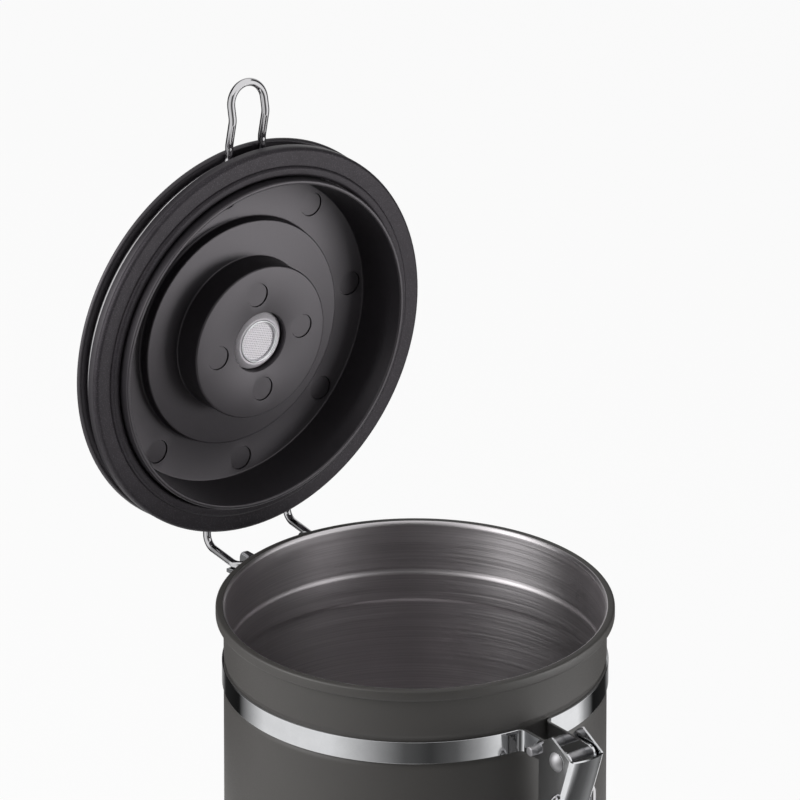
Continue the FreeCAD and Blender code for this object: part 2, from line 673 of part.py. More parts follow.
def lid_cover():
    """Cap over the spigot, sloped at its shoulders; its foot closes the wire's groove."""
    foot_inner = spigot_radius + dim.cover_fit
    hollow_edge = cover_radius - dim.cover_hollow_edge
    seat = cover_top - dim.cap_sheet
    hole = dim.stem_bore + dim.cap_stem_fit
    cap_seat = dim.cap_radius + dim.cap_fit
    rounding = dim.cover_round
    return turned("lid_cover", [
        (hole, cover_under), (hollow_edge - dim.cover_hollow_slope, cover_under),
        (hollow_edge, cover_foot_top), (foot_inner, cover_foot_top), (foot_inner, cover_foot),
        (cover_radius - rounding, cover_foot),
        (cover_radius, cover_foot + rounding, rounding), (cover_radius, cover_foot + dim.cover_edge),
        (cover_radius - dim.cover_slope, cover_top, dim.cover_slope_round),
        (cap_seat, cover_top), (cap_seat, seat), (hole, seat),
    ])


def vent_holes(body, name, ring, radius, count, depth=None):
    sketch = draw_circle(new_sketch(body, name, "XY_Plane", depth), ring, 0, radius)
    return repeat(body, cut(body, sketch, upwards=True), sketch, count)


def valve_housing():
    """Stem through the hub's ledge: a web with vents across its bore, a seat for the filter below."""
    outer = dim.valve_hole_radius - dim.housing_fit
    stem_top = cover_under - dim.free_gap
    body = turned("valve_housing", [
        (0, dim.web_depth), (dim.stem_bore, dim.web_depth),
        (dim.stem_bore, filter_seat), (dim.filter_seat_radius, filter_seat),
        (dim.filter_seat_radius, filter_face), (dim.filter_seat_radius + dim.housing_lip, filter_face),
        (outer, housing_face), (outer, dim.valve_ledge),
        (stem_radius, dim.valve_ledge), (stem_radius, stem_top), (dim.stem_bore, stem_top),
        (dim.stem_bore, web_top), (0, web_top),
    ])
    vent_holes(body, "housing_vent", dim.vent_ring, dim.vent_radius, VENTS)
    return body


def valve_membrane():
    """Loose rubber disc over the vents."""
    low = web_top + dim.seat_gap
    outer = dim.membrane_radius
    return turned("valve_membrane", [(0, low), (outer, low), (outer, membrane_top), (0, membrane_top)])


def valve_cap():
    """Vent cap flush in the cover; its stem keeps the membrane in."""
    low = cover_top - dim.cap_sheet
    stem_outer = dim.stem_bore - dim.cap_stem_fit
    stem_inner = stem_outer - dim.cap_stem_wall
    stem_low = membrane_top + dim.membrane_lift + dim.free_gap
    body = turned("valve_cap", [
        (0, low), (stem_inner, low), (stem_inner, stem_low), (stem_outer, stem_low),
        (stem_outer, low), (dim.cap_radius, low), (dim.cap_radius, cover_top), (0, cover_top),
    ])
    vent_holes(body, "cap_vent", dim.vent_ring, dim.vent_radius, VENTS)
    return body


def valve_filter():
    """Perforated disc on the seat: a centre hole and rows of holes round it."""
    high = filter_seat - dim.seat_gap
    low = high - dim.filter_sheet
    outer = dim.filter_seat_radius - dim.seat_gap
    body = turned("valve_filter", [(dim.filter_hole_radius, low), (outer, low), (outer, high),
                                   (dim.filter_hole_radius, high)])
    for row in range(1, FILTER_ROWS + 1):
        vent_holes(body, f"filter_row_{row}", dim.filter_hole_step * row, dim.filter_hole_radius,
                   FILTER_ROW_HOLES * row, filter_face)
    return body


def filter_ring():
    """Ring that holds the filter in its seat, a little proud of the housing."""
    high = filter_seat - dim.seat_gap * 2 - dim.filter_sheet
    low = filter_face - dim.filter_ring_proud
    outer = dim.filter_seat_radius - dim.seat_gap
    inner = dim.filter_window
    return turned("filter_ring", [(inner, low), (outer, low), (outer, high), (inner, high)])


def open_lid(pieces):
    """Set the lid's pieces on the can and turn them up about the hinge."""
    hinge = Vector(0, hinge_reach.number, hinge_height.number)
    turn = Placement(Vector(), Rotation(Vector(1, 0, 0), -dim.lid_open_angle.number), hinge)
    closed = Placement(Vector(0, 0, (dim.can_height + lid_rise).number), Rotation())
    for piece in pieces:
        piece.Placement = turn.multiply(closed)
    return pieces


fixed = [can_body(), base_plate(), neck_band(), clamp_pin(), lever_rivet(), hinge_bracket()]
latch = [latch_lever(), closing_link()]
lid = open_lid([
    bail_wire(), lid_cover(), lid_plug(), lid_gasket(), valve_housing(), valve_membrane(), valve_cap(),
    valve_filter(), filter_ring()])
doc.recompute()

failed = [item.Name for item in doc.Objects if {"Invalid", "Error"} & set(item.State)]
if failed:
    raise RuntimeError(f"not built: {failed}")
os.makedirs("parts", exist_ok=True)
for piece in fixed + latch + lid:
    shape = piece.Shape
    if shape.isNull() or not shape.isValid() or not shape.Solids:
        raise RuntimeError(f"{piece.Label} has no valid solid")
    shape.exportStep(f"parts/{piece.Label}.step")
    print(piece.Label, len(shape.Solids), round(shape.Volume, 1))
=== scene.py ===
"""Looks of an open coffee canister: painted can, wire bail, toggle latch and a moulded lid with a valve."""

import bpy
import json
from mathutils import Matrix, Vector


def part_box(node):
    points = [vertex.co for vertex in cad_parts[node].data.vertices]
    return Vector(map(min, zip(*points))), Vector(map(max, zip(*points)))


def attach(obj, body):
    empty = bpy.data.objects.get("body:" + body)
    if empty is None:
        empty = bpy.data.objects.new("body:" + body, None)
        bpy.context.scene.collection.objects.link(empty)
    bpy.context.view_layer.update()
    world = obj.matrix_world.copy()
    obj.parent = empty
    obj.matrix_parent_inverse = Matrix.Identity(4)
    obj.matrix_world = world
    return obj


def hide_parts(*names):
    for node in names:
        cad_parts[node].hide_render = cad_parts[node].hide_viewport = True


bl_info = {
    "name": "Coffee Canister",
    "version": (1, 0, 0),
    "blender": (4, 5, 0),
    "location": "View3D > Sidebar > Canister",
    "description": "Builds the visible pieces of an open coffee canister over its CAD frame",
    "category": "Add Mesh",
}

import json
import math

import bmesh
import bpy
from bpy.props import FloatProperty, FloatVectorProperty, IntProperty, PointerProperty
from mathutils import Matrix, Vector

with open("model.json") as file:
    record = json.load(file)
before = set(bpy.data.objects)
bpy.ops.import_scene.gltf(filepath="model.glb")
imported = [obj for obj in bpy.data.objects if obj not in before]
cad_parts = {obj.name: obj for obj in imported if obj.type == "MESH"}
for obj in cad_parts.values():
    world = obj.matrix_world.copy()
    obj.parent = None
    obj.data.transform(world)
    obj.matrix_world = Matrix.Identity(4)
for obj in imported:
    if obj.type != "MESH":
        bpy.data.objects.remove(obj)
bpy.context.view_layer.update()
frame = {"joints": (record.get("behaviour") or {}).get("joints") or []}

MM = 0.001
ACROSS = Vector((1, 0, 0))
UPRIGHT = Vector((0, 0, 1))


def linear(code):
    """Linear colour with alpha from an sRGB hex code."""
    channels = [int(code[place:place + 2], 16) / 255 for place in (1, 3, 5)]
    return tuple(c / 12.92 if c <= 0.04045 else ((c + 0.055) / 1.055) ** 2.4 for c in channels) + (1.0,)


def half_width(node):
    """Half the width of a node of the frame that is alike on both sides, in millimetres."""
    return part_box(node)[1].x / MM


# Places that the looks share with the frame, in millimetres
PIVOTS = {joint["name"]: Vector(joint["pos_m"]) / MM for joint in frame["joints"] if "pos_m" in joint}
HINGE = PIVOTS["lid_hinge"]
LEVER_PIVOT = PIVOTS["lever_pivot"]
LINK_PIVOT = PIVOTS["link_pivot"]
BAND_LOW, BAND_HIGH = (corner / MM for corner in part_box("neck_band"))
COVER_LOW, COVER_HIGH = (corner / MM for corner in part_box("lid_cover"))
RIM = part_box("can_body")[1].z / MM
LIP = half_width("can_body")
FLANGE = half_width("lid_plug")
LID_CENTRE = (COVER_LOW.z + COVER_HIGH.z) / 2

# The lid's pieces are made about the lid's own axis and stood up on the hinge; the seal's back is at SEAT
SEAT = 0.2
SEAL_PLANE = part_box("lid_gasket")[1].y / MM - SEAT
LID_STAND = Matrix(((1, 0, 0, 0), (0, 0, 1, SEAL_PLANE), (0, -1, 0, LID_CENTRE), (0, 0, 0, 1)))

# Levels of the cover and its vent cap, from the lid's zero, in millimetres
COVER_TOP = 15.6
CAP_SEAT = 14.4

# Faces round a pin or a hole, round the valve's pieces and along a bend
PIN_STEPS = 40
VALVE_STEPS = 96
BEND_STEPS = 8

# Longer than any row of holes, and closer than any two places, in millimetres
THROUGH = 60.0
NEAR = 0.01

# Sockets of a Mix node that mixes colours
MIX_A, MIX_B, MIX_RESULT = 6, 7, 2

# The camera's place from the middle of the rim: to the right, up in the picture and back, in millimetres
VIEW_RIGHT, VIEW_UP, VIEW_BACK = -4.8, 64.3, 6095.6

# Where the lamps point, in metres
LAMP_AIM = Vector((0, 0, 0.17))

# Greys of the painted reflection that the walls glow with, by the angle from the camera, in degrees to the
# right
WALL_RADIUS, WALL_HEIGHT = 260, 520
WALL_GREYS = (
    (-179, "#d8d8d8"), (-162, "#b0b0b0"), (-144, "#262626"), (-118, "#181818"), (-105, "#a8a8a8"),
    (-92, "#f0f0f0"), (-46, "#f0f0f0"), (-18, "#929292"), (-6, "#565656"), (8, "#3c3c3c"), (22, "#5c5c5c"),
    (34, "#a0a0a0"), (50, "#ffffff"), (103, "#ffffff"), (110, "#a8a8a8"), (120, "#181818"), (144, "#262626"),
    (162, "#b0b0b0"), (179, "#d8d8d8"))

# Greys of the card's painted reflection on the floor, along a fade that starts short of the can's axis, in
# millimetres
CARD_PLACE, CARD_HALF = (120, -130, 0.4), (160, 95)
CARD_START, CARD_FADE, CARD_TURN = 130, 330, math.radians(-32.7)
CARD_GREYS = (
    (0.0, "#f4f4f4"), (0.12, "#b0b0b0"), (0.22, "#464646"), (0.4, "#5c5c5c"), (0.6, "#8c8c8c"),
    (0.85, "#2a2a2a"), (1.0, "#2a2a2a"))


class CanisterSizes(bpy.types.PropertyGroup):
    """Sizes of the visible pieces that can change without the frame."""

    turn_steps: IntProperty(
        name="Steps per turn", description="Faces round each turned piece", default=160, min=48, max=256)
    wire_steps: IntProperty(
        name="Wire sides", description="Faces round each wire", default=20, min=8, max=48)
    edge_round: FloatProperty(
        name="Sheet edge", description="Rounding on the edges of stamped sheet", default=0.00016,
        min=0.00002, max=0.0004, unit="LENGTH")
    mesh_pitch: FloatProperty(
        name="Filter pitch", description="Distance between the wires of the valve's filter", default=0.00075,
        min=0.0004, max=0.002, unit="LENGTH")


class CanisterFinish(bpy.types.PropertyGroup):
    """Colours of the finishes."""

    paint: FloatVectorProperty(
        name="Powder coat", description="Colour of the can's outside", subtype="COLOR", size=4,
        default=linear("#3d3b39"), min=0, max=1)
    steel: FloatVectorProperty(
        name="Brushed steel", description="Colour of the bare inside and the base", subtype="COLOR", size=4,
        default=linear("#d8d4d6"), min=0, max=1)
    chrome: FloatVectorProperty(
        name="Chrome", description="Colour of the strap and the pressings", subtype="COLOR", size=4,
        default=linear("#e2e3e5"), min=0, max=1)
    nickel: FloatVectorProperty(
        name="Nickel", description="Colour of the bail and the link", subtype="COLOR", size=4,
        default=linear("#d6d5d7"), min=0, max=1)
    tumbled: FloatVectorProperty(
        name="Tumbled nickel", description="Colour of the clamp's pin and the rivet", subtype="COLOR", size=4,
        default=linear("#a3a2a4"), min=0, max=1)
    plastic: FloatVectorProperty(
        name="Lid plastic", description="Colour of the moulded lid", subtype="COLOR", size=4,
        default=linear("#211f22"), min=0, max=1)
    rubber: FloatVectorProperty(
        name="Seal rubber", description="Colour of the lid's seal", subtype="COLOR", size=4,
        default=linear("#1d1b1e"), min=0, max=1)
    valve: FloatVectorProperty(
        name="Valve plastic", description="Colour of the valve's housing and cap", subtype="COLOR", size=4,
        default=linear("#d2ced3"), min=0, max=1)
    filter_cloth: FloatVectorProperty(
        name="Filter cloth", description="Colour of the woven filter", subtype="COLOR", size=4,
        default=linear("#dad7db"), min=0, max=1)
    # grey of the disc behind the filter's wires, a painted shade seen between them
    filter_bed: FloatVectorProperty(
        name="Shade between wires", description="Colour between the filter's wires", subtype="COLOR", size=4,
        default=linear("#77747a"), min=0, max=1)
    flap: FloatVectorProperty(
        name="Valve rubber", description="Colour of the valve's disc", subtype="COLOR", size=4,
        default=linear("#b9b7b1"), min=0, max=1)


class CanisterStage(bpy.types.PropertyGroup):
    """Camera and lamps."""

    azimuth: FloatProperty(
        name="Azimuth", description="Where the camera stands round the can", default=math.radians(-38),
        subtype="ANGLE")
    elevation: FloatProperty(
        name="Elevation", description="How far the camera looks down", default=math.radians(25.3),
        subtype="ANGLE")
    focal_length: FloatProperty(
        name="Focal length", description="The camera's lens, in millimetres", default=870, min=50, max=2000)
    key_power: FloatProperty(
        name="Key", description="Power of the left lamp", default=15, min=0, subtype="POWER")
    fill_power: FloatProperty(
        name="Fill", description="Power of the right lamp", default=2.6, min=0, subtype="POWER")
    soft_light: FloatProperty(
        name="Soft light", description="Strength of the light from all round", default=0.17, min=0, max=1)


def feed(tree, node, inputs):
    """Set a node's inputs; each is a value or the output that feeds it."""
    for socket, value in inputs.items():
        if isinstance(value, bpy.types.NodeSocket):
            tree.links.new(value, node.inputs[socket])
        else:
            node.inputs[socket].default_value = value


def add(tree, kind, inputs=None, stops=(), **settings):
    """Add a node with its settings and inputs; a ramp's stops are (position, colour) in order."""
    node = tree.nodes.new(kind)
    for name, value in settings.items():
        setattr(node, name, value)
    feed(tree, node, inputs or {})
    if stops:
        ramp = node.color_ramp.elements
        ramp[0].position, ramp[0].color = stops[0]
        ramp[-1].position, ramp[-1].color = stops[-1]
        for position, colour in stops[1:-1]:
            ramp.new(position).color = colour
    return node


def new_material(name):
    """Material with one Principled shader; gives the material, its tree and the shader."""
    material = bpy.data.materials.new(name)
    material.use_nodes = True
    tree = material.node_tree
    tree.nodes.clear()
    shader = add(tree, "ShaderNodeBsdfPrincipled")
    add(tree, "ShaderNodeOutputMaterial", {"Surface": shader.outputs["BSDF"]})
    return material, tree, shader


def shade(colour, share):
    """Lighter or darker tone of a colour."""
    return tuple(channel * share for channel in colour[:3]) + (1.0,)


def per(size):
    """Scale of a pattern from its real size in millimetres."""
    return 1 / (size * MM)


def powder_coat(colour):
    """Powder-coated steel: a baked resin film, matt with a soft peel and a very fine grain."""
    material, tree, shader = new_material("powder_coated_steel")
    place = add(tree, "ShaderNodeTexCoord").outputs["Object"]
    # grain of 0.4 mm stands for a finer one, so that it shows
    grain = add(tree, "ShaderNodeTexNoise", {"Vector": place, "Scale": per(0.4), "Detail": 2.0})
    cloud = add(tree, "ShaderNodeTexNoise", {"Vector": place, "Scale": per(30), "Detail": 3.0})
    mixed = add(tree, "ShaderNodeMix", {
        "Factor": 0.35, MIX_A: cloud.outputs["Color"], MIX_B: grain.outputs["Color"]}, data_type="RGBA")
    tone = add(tree, "ShaderNodeValToRGB", {"Fac": mixed.outputs[MIX_RESULT]},
               stops=((0.3, shade(colour, 0.9)), (0.7, shade(colour, 1.08))))
    rough = add(tree, "ShaderNodeMapRange", {
        "Value": grain.outputs["Fac"], "From Min": 0.3, "From Max": 0.7, "To Min": 0.46, "To Max": 0.58})
    bump = add(tree, "ShaderNodeBump", {
        "Height": grain.outputs["Fac"], "Strength": 0.16, "Distance": 0.05 * MM})
    feed(tree, shader, {
        "Base Color": tone.outputs["Color"], "Roughness": rough.outputs["Result"],
        "Normal": bump.outputs["Normal"], "IOR": 1.5})
    return material


def brushed_steel(colour):
    """Stainless steel brushed round the can: fine level lines that draw each highlight out up and down."""
    material, tree, shader = new_material("brushed_stainless_steel")
    place = add(tree, "ShaderNodeTexCoord").outputs["Object"]
    # lines 0.4 mm apart stand for finer ones; along the line they keep for about 50 mm
    lines = add(tree, "ShaderNodeMapping", {"Vector": place, "Scale": (per(50), per(50), per(0.4))})
    scratch = add(tree, "ShaderNodeTexNoise", {
        "Vector": lines.outputs["Vector"], "Scale": 1.0, "Detail": 3.0})
    bands = add(tree, "ShaderNodeMapping", {"Vector": place, "Scale": (per(200), per(200), per(3))})
    wide = add(tree, "ShaderNodeTexNoise", {"Vector": bands.outputs["Vector"], "Scale": 1.0, "Detail": 2.0})
    mixed = add(tree, "ShaderNodeMix", {
        "Factor": 0.25, MIX_A: scratch.outputs["Color"], MIX_B: wide.outputs["Color"]}, data_type="RGBA")
    tone = add(tree, "ShaderNodeValToRGB", {"Fac": mixed.outputs[MIX_RESULT]},
               stops=((0.3, shade(colour, 0.68)), (0.7, colour)))
    rough = add(tree, "ShaderNodeMapRange", {
        "Value": scratch.outputs["Fac"], "From Min": 0.3, "From Max": 0.7, "To Min": 0.28, "To Max": 0.38})
    bump = add(tree, "ShaderNodeBump", {
        "Height": scratch.outputs["Fac"], "Strength": 0.08, "Distance": 0.05 * MM})
    around = add(tree, "ShaderNodeTangent", direction_type="RADIAL", axis="Z")
    feed(tree, shader, {
        "Base Color": tone.outputs["Color"], "Roughness": rough.outputs["Result"],
        "Normal": bump.outputs["Normal"], "Tangent": around.outputs["Tangent"], "Anisotropic": 0.7,
        "Anisotropic Rotation": 0.25, "Metallic": 1.0})
    return material


def plated_steel(colour, name="chrome_plated_steel", smooth=0.035, dull=0.11):
    """Chrome or nickel on steel: a mirror with faint wiping marks; pieces share it by its name."""
    made = bpy.data.materials.get(name)
    if made:
        return made
    material, tree, shader = new_material(name)
    place = add(tree, "ShaderNodeTexCoord").outputs["Object"]
    wipe = add(tree, "ShaderNodeTexNoise", {
        "Vector": place, "Scale": per(7), "Detail": 4.0, "Roughness": 0.6})
    rough = add(tree, "ShaderNodeMapRange", {
        "Value": wipe.outputs["Fac"], "From Min": 0.35, "From Max": 0.7, "To Min": smooth, "To Max": dull})
    tone = add(tree, "ShaderNodeValToRGB", {"Fac": wipe.outputs["Fac"]},
               stops=((0.3, colour), (0.75, shade(colour, 0.9))))
    feed(tree, shader, {
        "Base Color": tone.outputs["Color"], "Roughness": rough.outputs["Result"], "Metallic": 1.0})
    return material


def plated_wire(colour):
    """Nickel on drawn wire: the closest to a clean mirror."""
    return plated_steel(colour, "nickel_plated_wire", 0.02, 0.06)


def tumbled_steel(colour):
    """Nickel on small turned pieces, tumbled in a barrel: satin, with no sharp reflections."""
    return plated_steel(colour, "tumbled_nickel_steel", 0.48, 0.58)


def moulded_plastic(colour, name, grit, smooth=0.34, dull=0.46):
    """Moulded polypropylene from a spark-eroded tool: a fine even grit that breaks the gloss."""
    material, tree, shader = new_material(name)
    place = add(tree, "ShaderNodeTexCoord").outputs["Object"]
    pits = add(tree, "ShaderNodeTexNoise", {"Vector": place, "Scale": per(grit), "Detail": 2.0})
    flow = add(tree, "ShaderNodeTexNoise", {"Vector": place, "Scale": per(18), "Detail": 2.0})
    mixed = add(tree, "ShaderNodeMix", {
        "Factor": 0.5, MIX_A: flow.outputs["Color"], MIX_B: pits.outputs["Color"]}, data_type="RGBA")
    tone = add(tree, "ShaderNodeValToRGB", {"Fac": mixed.outputs[MIX_RESULT]},
               stops=((0.32, shade(colour, 0.82)), (0.68, shade(colour, 1.2))))
    rough = add(tree, "ShaderNodeMapRange", {
        "Value": pits.outputs["Fac"], "From Min": 0.3, "From Max": 0.7, "To Min": smooth, "To Max": dull})
    bump = add(tree, "ShaderNodeBump", {
        "Height": pits.outputs["Fac"], "Strength": 0.22, "Distance": 0.06 * MM})
    feed(tree, shader, {
        "Base Color": tone.outputs["Color"], "Roughness": rough.outputs["Result"],
        "Normal": bump.outputs["Normal"], "IOR": 1.49, "Specular IOR Level": 0.7,
        "Specular Tint": linear("#fff8ff")})
    return material


def seal_rubber(colour, name):
    """Silicone rubber, pressed: dead matt, with a light bloom of dust."""
    material, tree, shader = new_material(name)
    place = add(tree, "ShaderNodeTexCoord").outputs["Object"]
    bloom = add(tree, "ShaderNodeTexNoise", {"Vector": place, "Scale": per(5), "Detail": 5.0})
    skin = add(tree, "ShaderNodeTexNoise", {"Vector": place, "Scale": per(0.5), "Detail": 2.0})
    tone = add(tree, "ShaderNodeValToRGB", {"Fac": bloom.outputs["Fac"]},
               stops=((0.35, shade(colour, 0.85)), (0.75, shade(colour, 1.35))))
    # specks of 0.35 mm, drawn larger than dust so that they show
    speck = add(tree, "ShaderNodeTexNoise", {"Vector": place, "Scale": per(0.35), "Detail": 0.0})
    dust = add(tree, "ShaderNodeMapRange", {
        "Value": speck.outputs["Fac"], "From Min": 0.62, "From Max": 0.74, "To Min": 0.0, "To Max": 0.5})
    dusty = add(tree, "ShaderNodeMix", {
        "Factor": dust.outputs["Result"], MIX_A: tone.outputs["Color"], MIX_B: shade(colour, 6)},
        data_type="RGBA")
    bump = add(tree, "ShaderNodeBump", {
        "Height": skin.outputs["Fac"], "Strength": 0.12, "Distance": 0.05 * MM})
    rough = add(tree, "ShaderNodeMapRange", {
        "Value": skin.outputs["Fac"], "From Min": 0.3, "From Max": 0.7, "To Min": 0.5, "To Max": 0.62})
    feed(tree, shader, {
        "Base Color": dusty.outputs[MIX_RESULT], "Roughness": rough.outputs["Result"],
        "Normal": bump.outputs["Normal"], "IOR": 1.41, "Specular Tint": linear("#fff6ff")})
    return material


def filter_wire(colour):
    """Fine stainless wire cloth, rolled flat and pickled: a soft even grey, duller here and there."""
    material, tree, shader = new_material("stainless_wire_cloth")
    place = add(tree, "ShaderNodeTexCoord").outputs["Object"]
    dull = add(tree, "ShaderNodeTexNoise", {"Vector": place, "Scale": per(0.8), "Detail": 2.0})
    tone = add(tree, "ShaderNodeValToRGB", {"Fac": dull.outputs["Fac"]},
               stops=((0.3, shade(colour, 0.92)), (0.7, colour)))
    rough = add(tree, "ShaderNodeMapRange", {
        "Value": dull.outputs["Fac"], "From Min": 0.3, "From Max": 0.7, "To Min": 0.58, "To Max": 0.7})
    feed(tree, shader, {
        "Base Color": tone.outputs["Color"], "Roughness": rough.outputs["Result"], "Metallic": 0.75})
    return material


def lathe(profile, steps):
    """Turn a closed outline of (radius, height) or (radius, height, rounding) about the vertical axis."""
    mesh = bmesh.new()
    corners = [mesh.verts.new((corner[0], 0, corner[1])) for corner in profile]
    for pair in zip(corners, corners[1:] + corners[:1]):
        mesh.edges.new(pair)
    for vertex, corner in zip(corners, profile):
        if len(corner) > 2:
            bmesh.ops.bevel(
                mesh, geom=[vertex], offset=corner[2], segments=4 if corner[2] < 1 else 10, profile=0.5,
                affect="VERTICES", material=-1)
    bmesh.ops.spin(
        mesh, geom=mesh.verts[:] + mesh.edges[:], cent=(0, 0, 0), axis=UPRIGHT, angle=math.tau, steps=steps,
        use_merge=True)
    bmesh.ops.remove_doubles(mesh, verts=mesh.verts[:], dist=0.001)
    bmesh.ops.recalc_face_normals(mesh, faces=mesh.faces[:])
    return mesh


def facing(place, axis):
    """Matrix that lays the vertical axis along another one at a place."""
    return Matrix.Translation(place) @ UPRIGHT.rotation_difference(axis).to_matrix().to_4x4()


def lay_across(mesh, place):
    """Turn a piece made about the vertical axis to lie along X at its place."""
    bmesh.ops.transform(mesh, matrix=facing(place, ACROSS), verts=mesh.verts[:])
    return mesh


def stand_up(shape):
    """Stand a piece of the lid up on the hinge; a bmesh is in millimetres, an object in metres."""
    if isinstance(shape, bpy.types.Object):
        shape.data.transform(Matrix.Scale(MM, 4) @ LID_STAND @ Matrix.Scale(1 / MM, 4))
    else:
        bmesh.ops.transform(shape, matrix=LID_STAND, verts=shape.verts[:])
    return shape


def to_object(mesh, name):
    """Object at the origin from a bmesh in millimetres."""
    bmesh.ops.scale(mesh, vec=(MM, MM, MM), verts=mesh.verts[:])
    data = bpy.data.meshes.new(name)
    mesh.to_mesh(data)
    mesh.free()
    piece = bpy.data.objects.new(name, data)
    bpy.context.scene.collection.objects.link(piece)
    return piece


def finish(shape, name, body, nodes, materials, sharp=35):
    """Make the piece an object, smooth it, give it its materials and join it to the frame."""
    piece = shape if isinstance(shape, bpy.types.Object) else to_object(shape, name)
    for material in materials:
        piece.data.materials.append(material)
    piece.data.shade_smooth()
    piece.data.set_sharp_from_angle(angle=math.radians(sharp))
    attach(piece, body)
    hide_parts(*nodes)
    return piece


def drill(mesh, name, cutters):
    """Cut round holes or pockets; each cutter is (centre, axis, radius, length) in millimetres."""
    piece = to_object(mesh, name)
    tools = bmesh.new()
    for centre, axis, radius, length in cutters:
        bmesh.ops.create_cone(
            tools, cap_ends=True, segments=PIN_STEPS, radius1=radius, radius2=radius, depth=length,
            matrix=facing(centre, axis))
    tool = to_object(tools, f"{name}_tool")
    cut = piece.modifiers.new("holes", "BOOLEAN")
    cut.operation = "DIFFERENCE"
    cut.solver = "EXACT"
    cut.object = tool
    shape = bpy.data.meshes.new_from_object(piece.evaluated_get(bpy.context.evaluated_depsgraph_get()))
    if len(shape.polygons) <= len(piece.data.polygons):
        raise RuntimeError(f"{name}: the holes were not cut")
    old = piece.data
    piece.modifiers.clear()
    piece.data = shape
    shape.name = name
    bpy.data.meshes.remove(old)
    bpy.data.meshes.remove(tool.data)
    return piece


def soften(piece, width):
    """Round the sharp edges of stamped sheet."""
    edge = piece.modifiers.new("edges", "BEVEL")
    edge.width = width
    edge.segments = 2
    edge.limit_method = "ANGLE"
    edge.angle_limit = math.radians(40)
    return piece


def extend(mesh, row, step):
    """Draw a row or ring of edges out by a step; gives the new one."""
    grown = bmesh.ops.extrude_edge_only(mesh, edges=row)["geom"]
    moved = [item for item in grown if isinstance(item, bmesh.types.BMVert)]
    bmesh.ops.translate(mesh, vec=step, verts=moved)
    kept = set(moved)
    return [item for item in grown if isinstance(item, bmesh.types.BMEdge) and set(item.verts) <= kept]


def swing(mesh, row, centre, axis, angle, steps=BEND_STEPS):
    """Spin a row or ring of edges through an angle; gives the one at the end."""
    spun = bmesh.ops.spin(mesh, geom=row, cent=centre, axis=axis, angle=angle, steps=steps)["geom_last"]
    return [item for item in spun if isinstance(item, bmesh.types.BMEdge)]


def bend_strap(ear, far, levels, across, along, turn, sweep, steps):
    """Sheet drawn in from an ear, bent, swept round the can, bent back and drawn out to the other ear."""
    mesh = bmesh.new()
    row = [mesh.edges.new([mesh.verts.new((ear, far, level)) for level in levels])]
    row = extend(mesh, row, Vector((0, along - far, 0)))
    row = swing(mesh, row, (across, along, 0), UPRIGHT, -turn)
    row = swing(mesh, row, (0, 0, 0), UPRIGHT, sweep, steps)
    row = swing(mesh, row, (-across, along, 0), UPRIGHT, -turn)
    extend(mesh, row, Vector((0, far - along, 0)))
    return mesh


def thicken(mesh, thickness, place, outward):
    """Give a folded sheet its thickness behind the face at a place, and point its faces out."""
    bmesh.ops.recalc_face_normals(mesh, faces=mesh.faces[:])
    face = min(mesh.faces, key=lambda item: (item.calc_center_median() - place).length)
    if face.normal.dot(outward) < 0:
        bmesh.ops.reverse_faces(mesh, faces=mesh.faces[:])
    bmesh.ops.solidify(mesh, geom=mesh.faces[:], thickness=thickness)
    bmesh.ops.recalc_face_normals(mesh, faces=mesh.faces[:])


def wire_start(mesh, radius, sides, place, axis):
    """Closed flat start of a wire; gives the ring to draw out."""
    made = bmesh.ops.create_circle(
        mesh, cap_ends=True, radius=radius, segments=sides, matrix=facing(place, axis))["verts"]
    return [edge for edge in mesh.edges if set(edge.verts) <= set(made)]


def draw_out(mesh, ring, step):
    """Draw a wire straight out; a short stretch at each end keeps the bends' shading off the run."""
    end = step.normalized() * min(0.3, step.length / 4)
    for part in (end, step - end * 2, end):
        ring = extend(mesh, ring, part)
    return ring


def run_wire(mesh, ring, here, corners, radii):
    """Draw a wire along straight runs through corners, with a round bend at each but the last."""
    for corner, after, radius in zip(corners, corners[1:], radii):
        before = (here - corner).normalized()
        onward = (after - corner).normalized()
        half_angle = before.angle(onward) / 2
        set_back = radius / math.tan(half_angle)
        ring = draw_out(mesh, ring, corner + before * set_back - here)
        centre = corner + (before + onward).normalized() * (radius / math.sin(half_angle))
        ring = swing(mesh, ring, centre, onward.cross(before), math.pi - 2 * half_angle)
        here = corner + onward * set_back
    return draw_out(mesh, ring, corners[-1] - here)


def close_halves(mesh):
    """Mirror half a piece across the middle plane and close the seam."""
    bmesh.ops.mirror(mesh, geom=mesh.verts[:] + mesh.edges[:] + mesh.faces[:], axis="X", merge_dist=NEAR)
    bmesh.ops.remove_doubles(mesh, verts=mesh.verts[:], dist=0.005)
    bmesh.ops.recalc_face_normals(mesh, faces=mesh.faces[:])
    return mesh


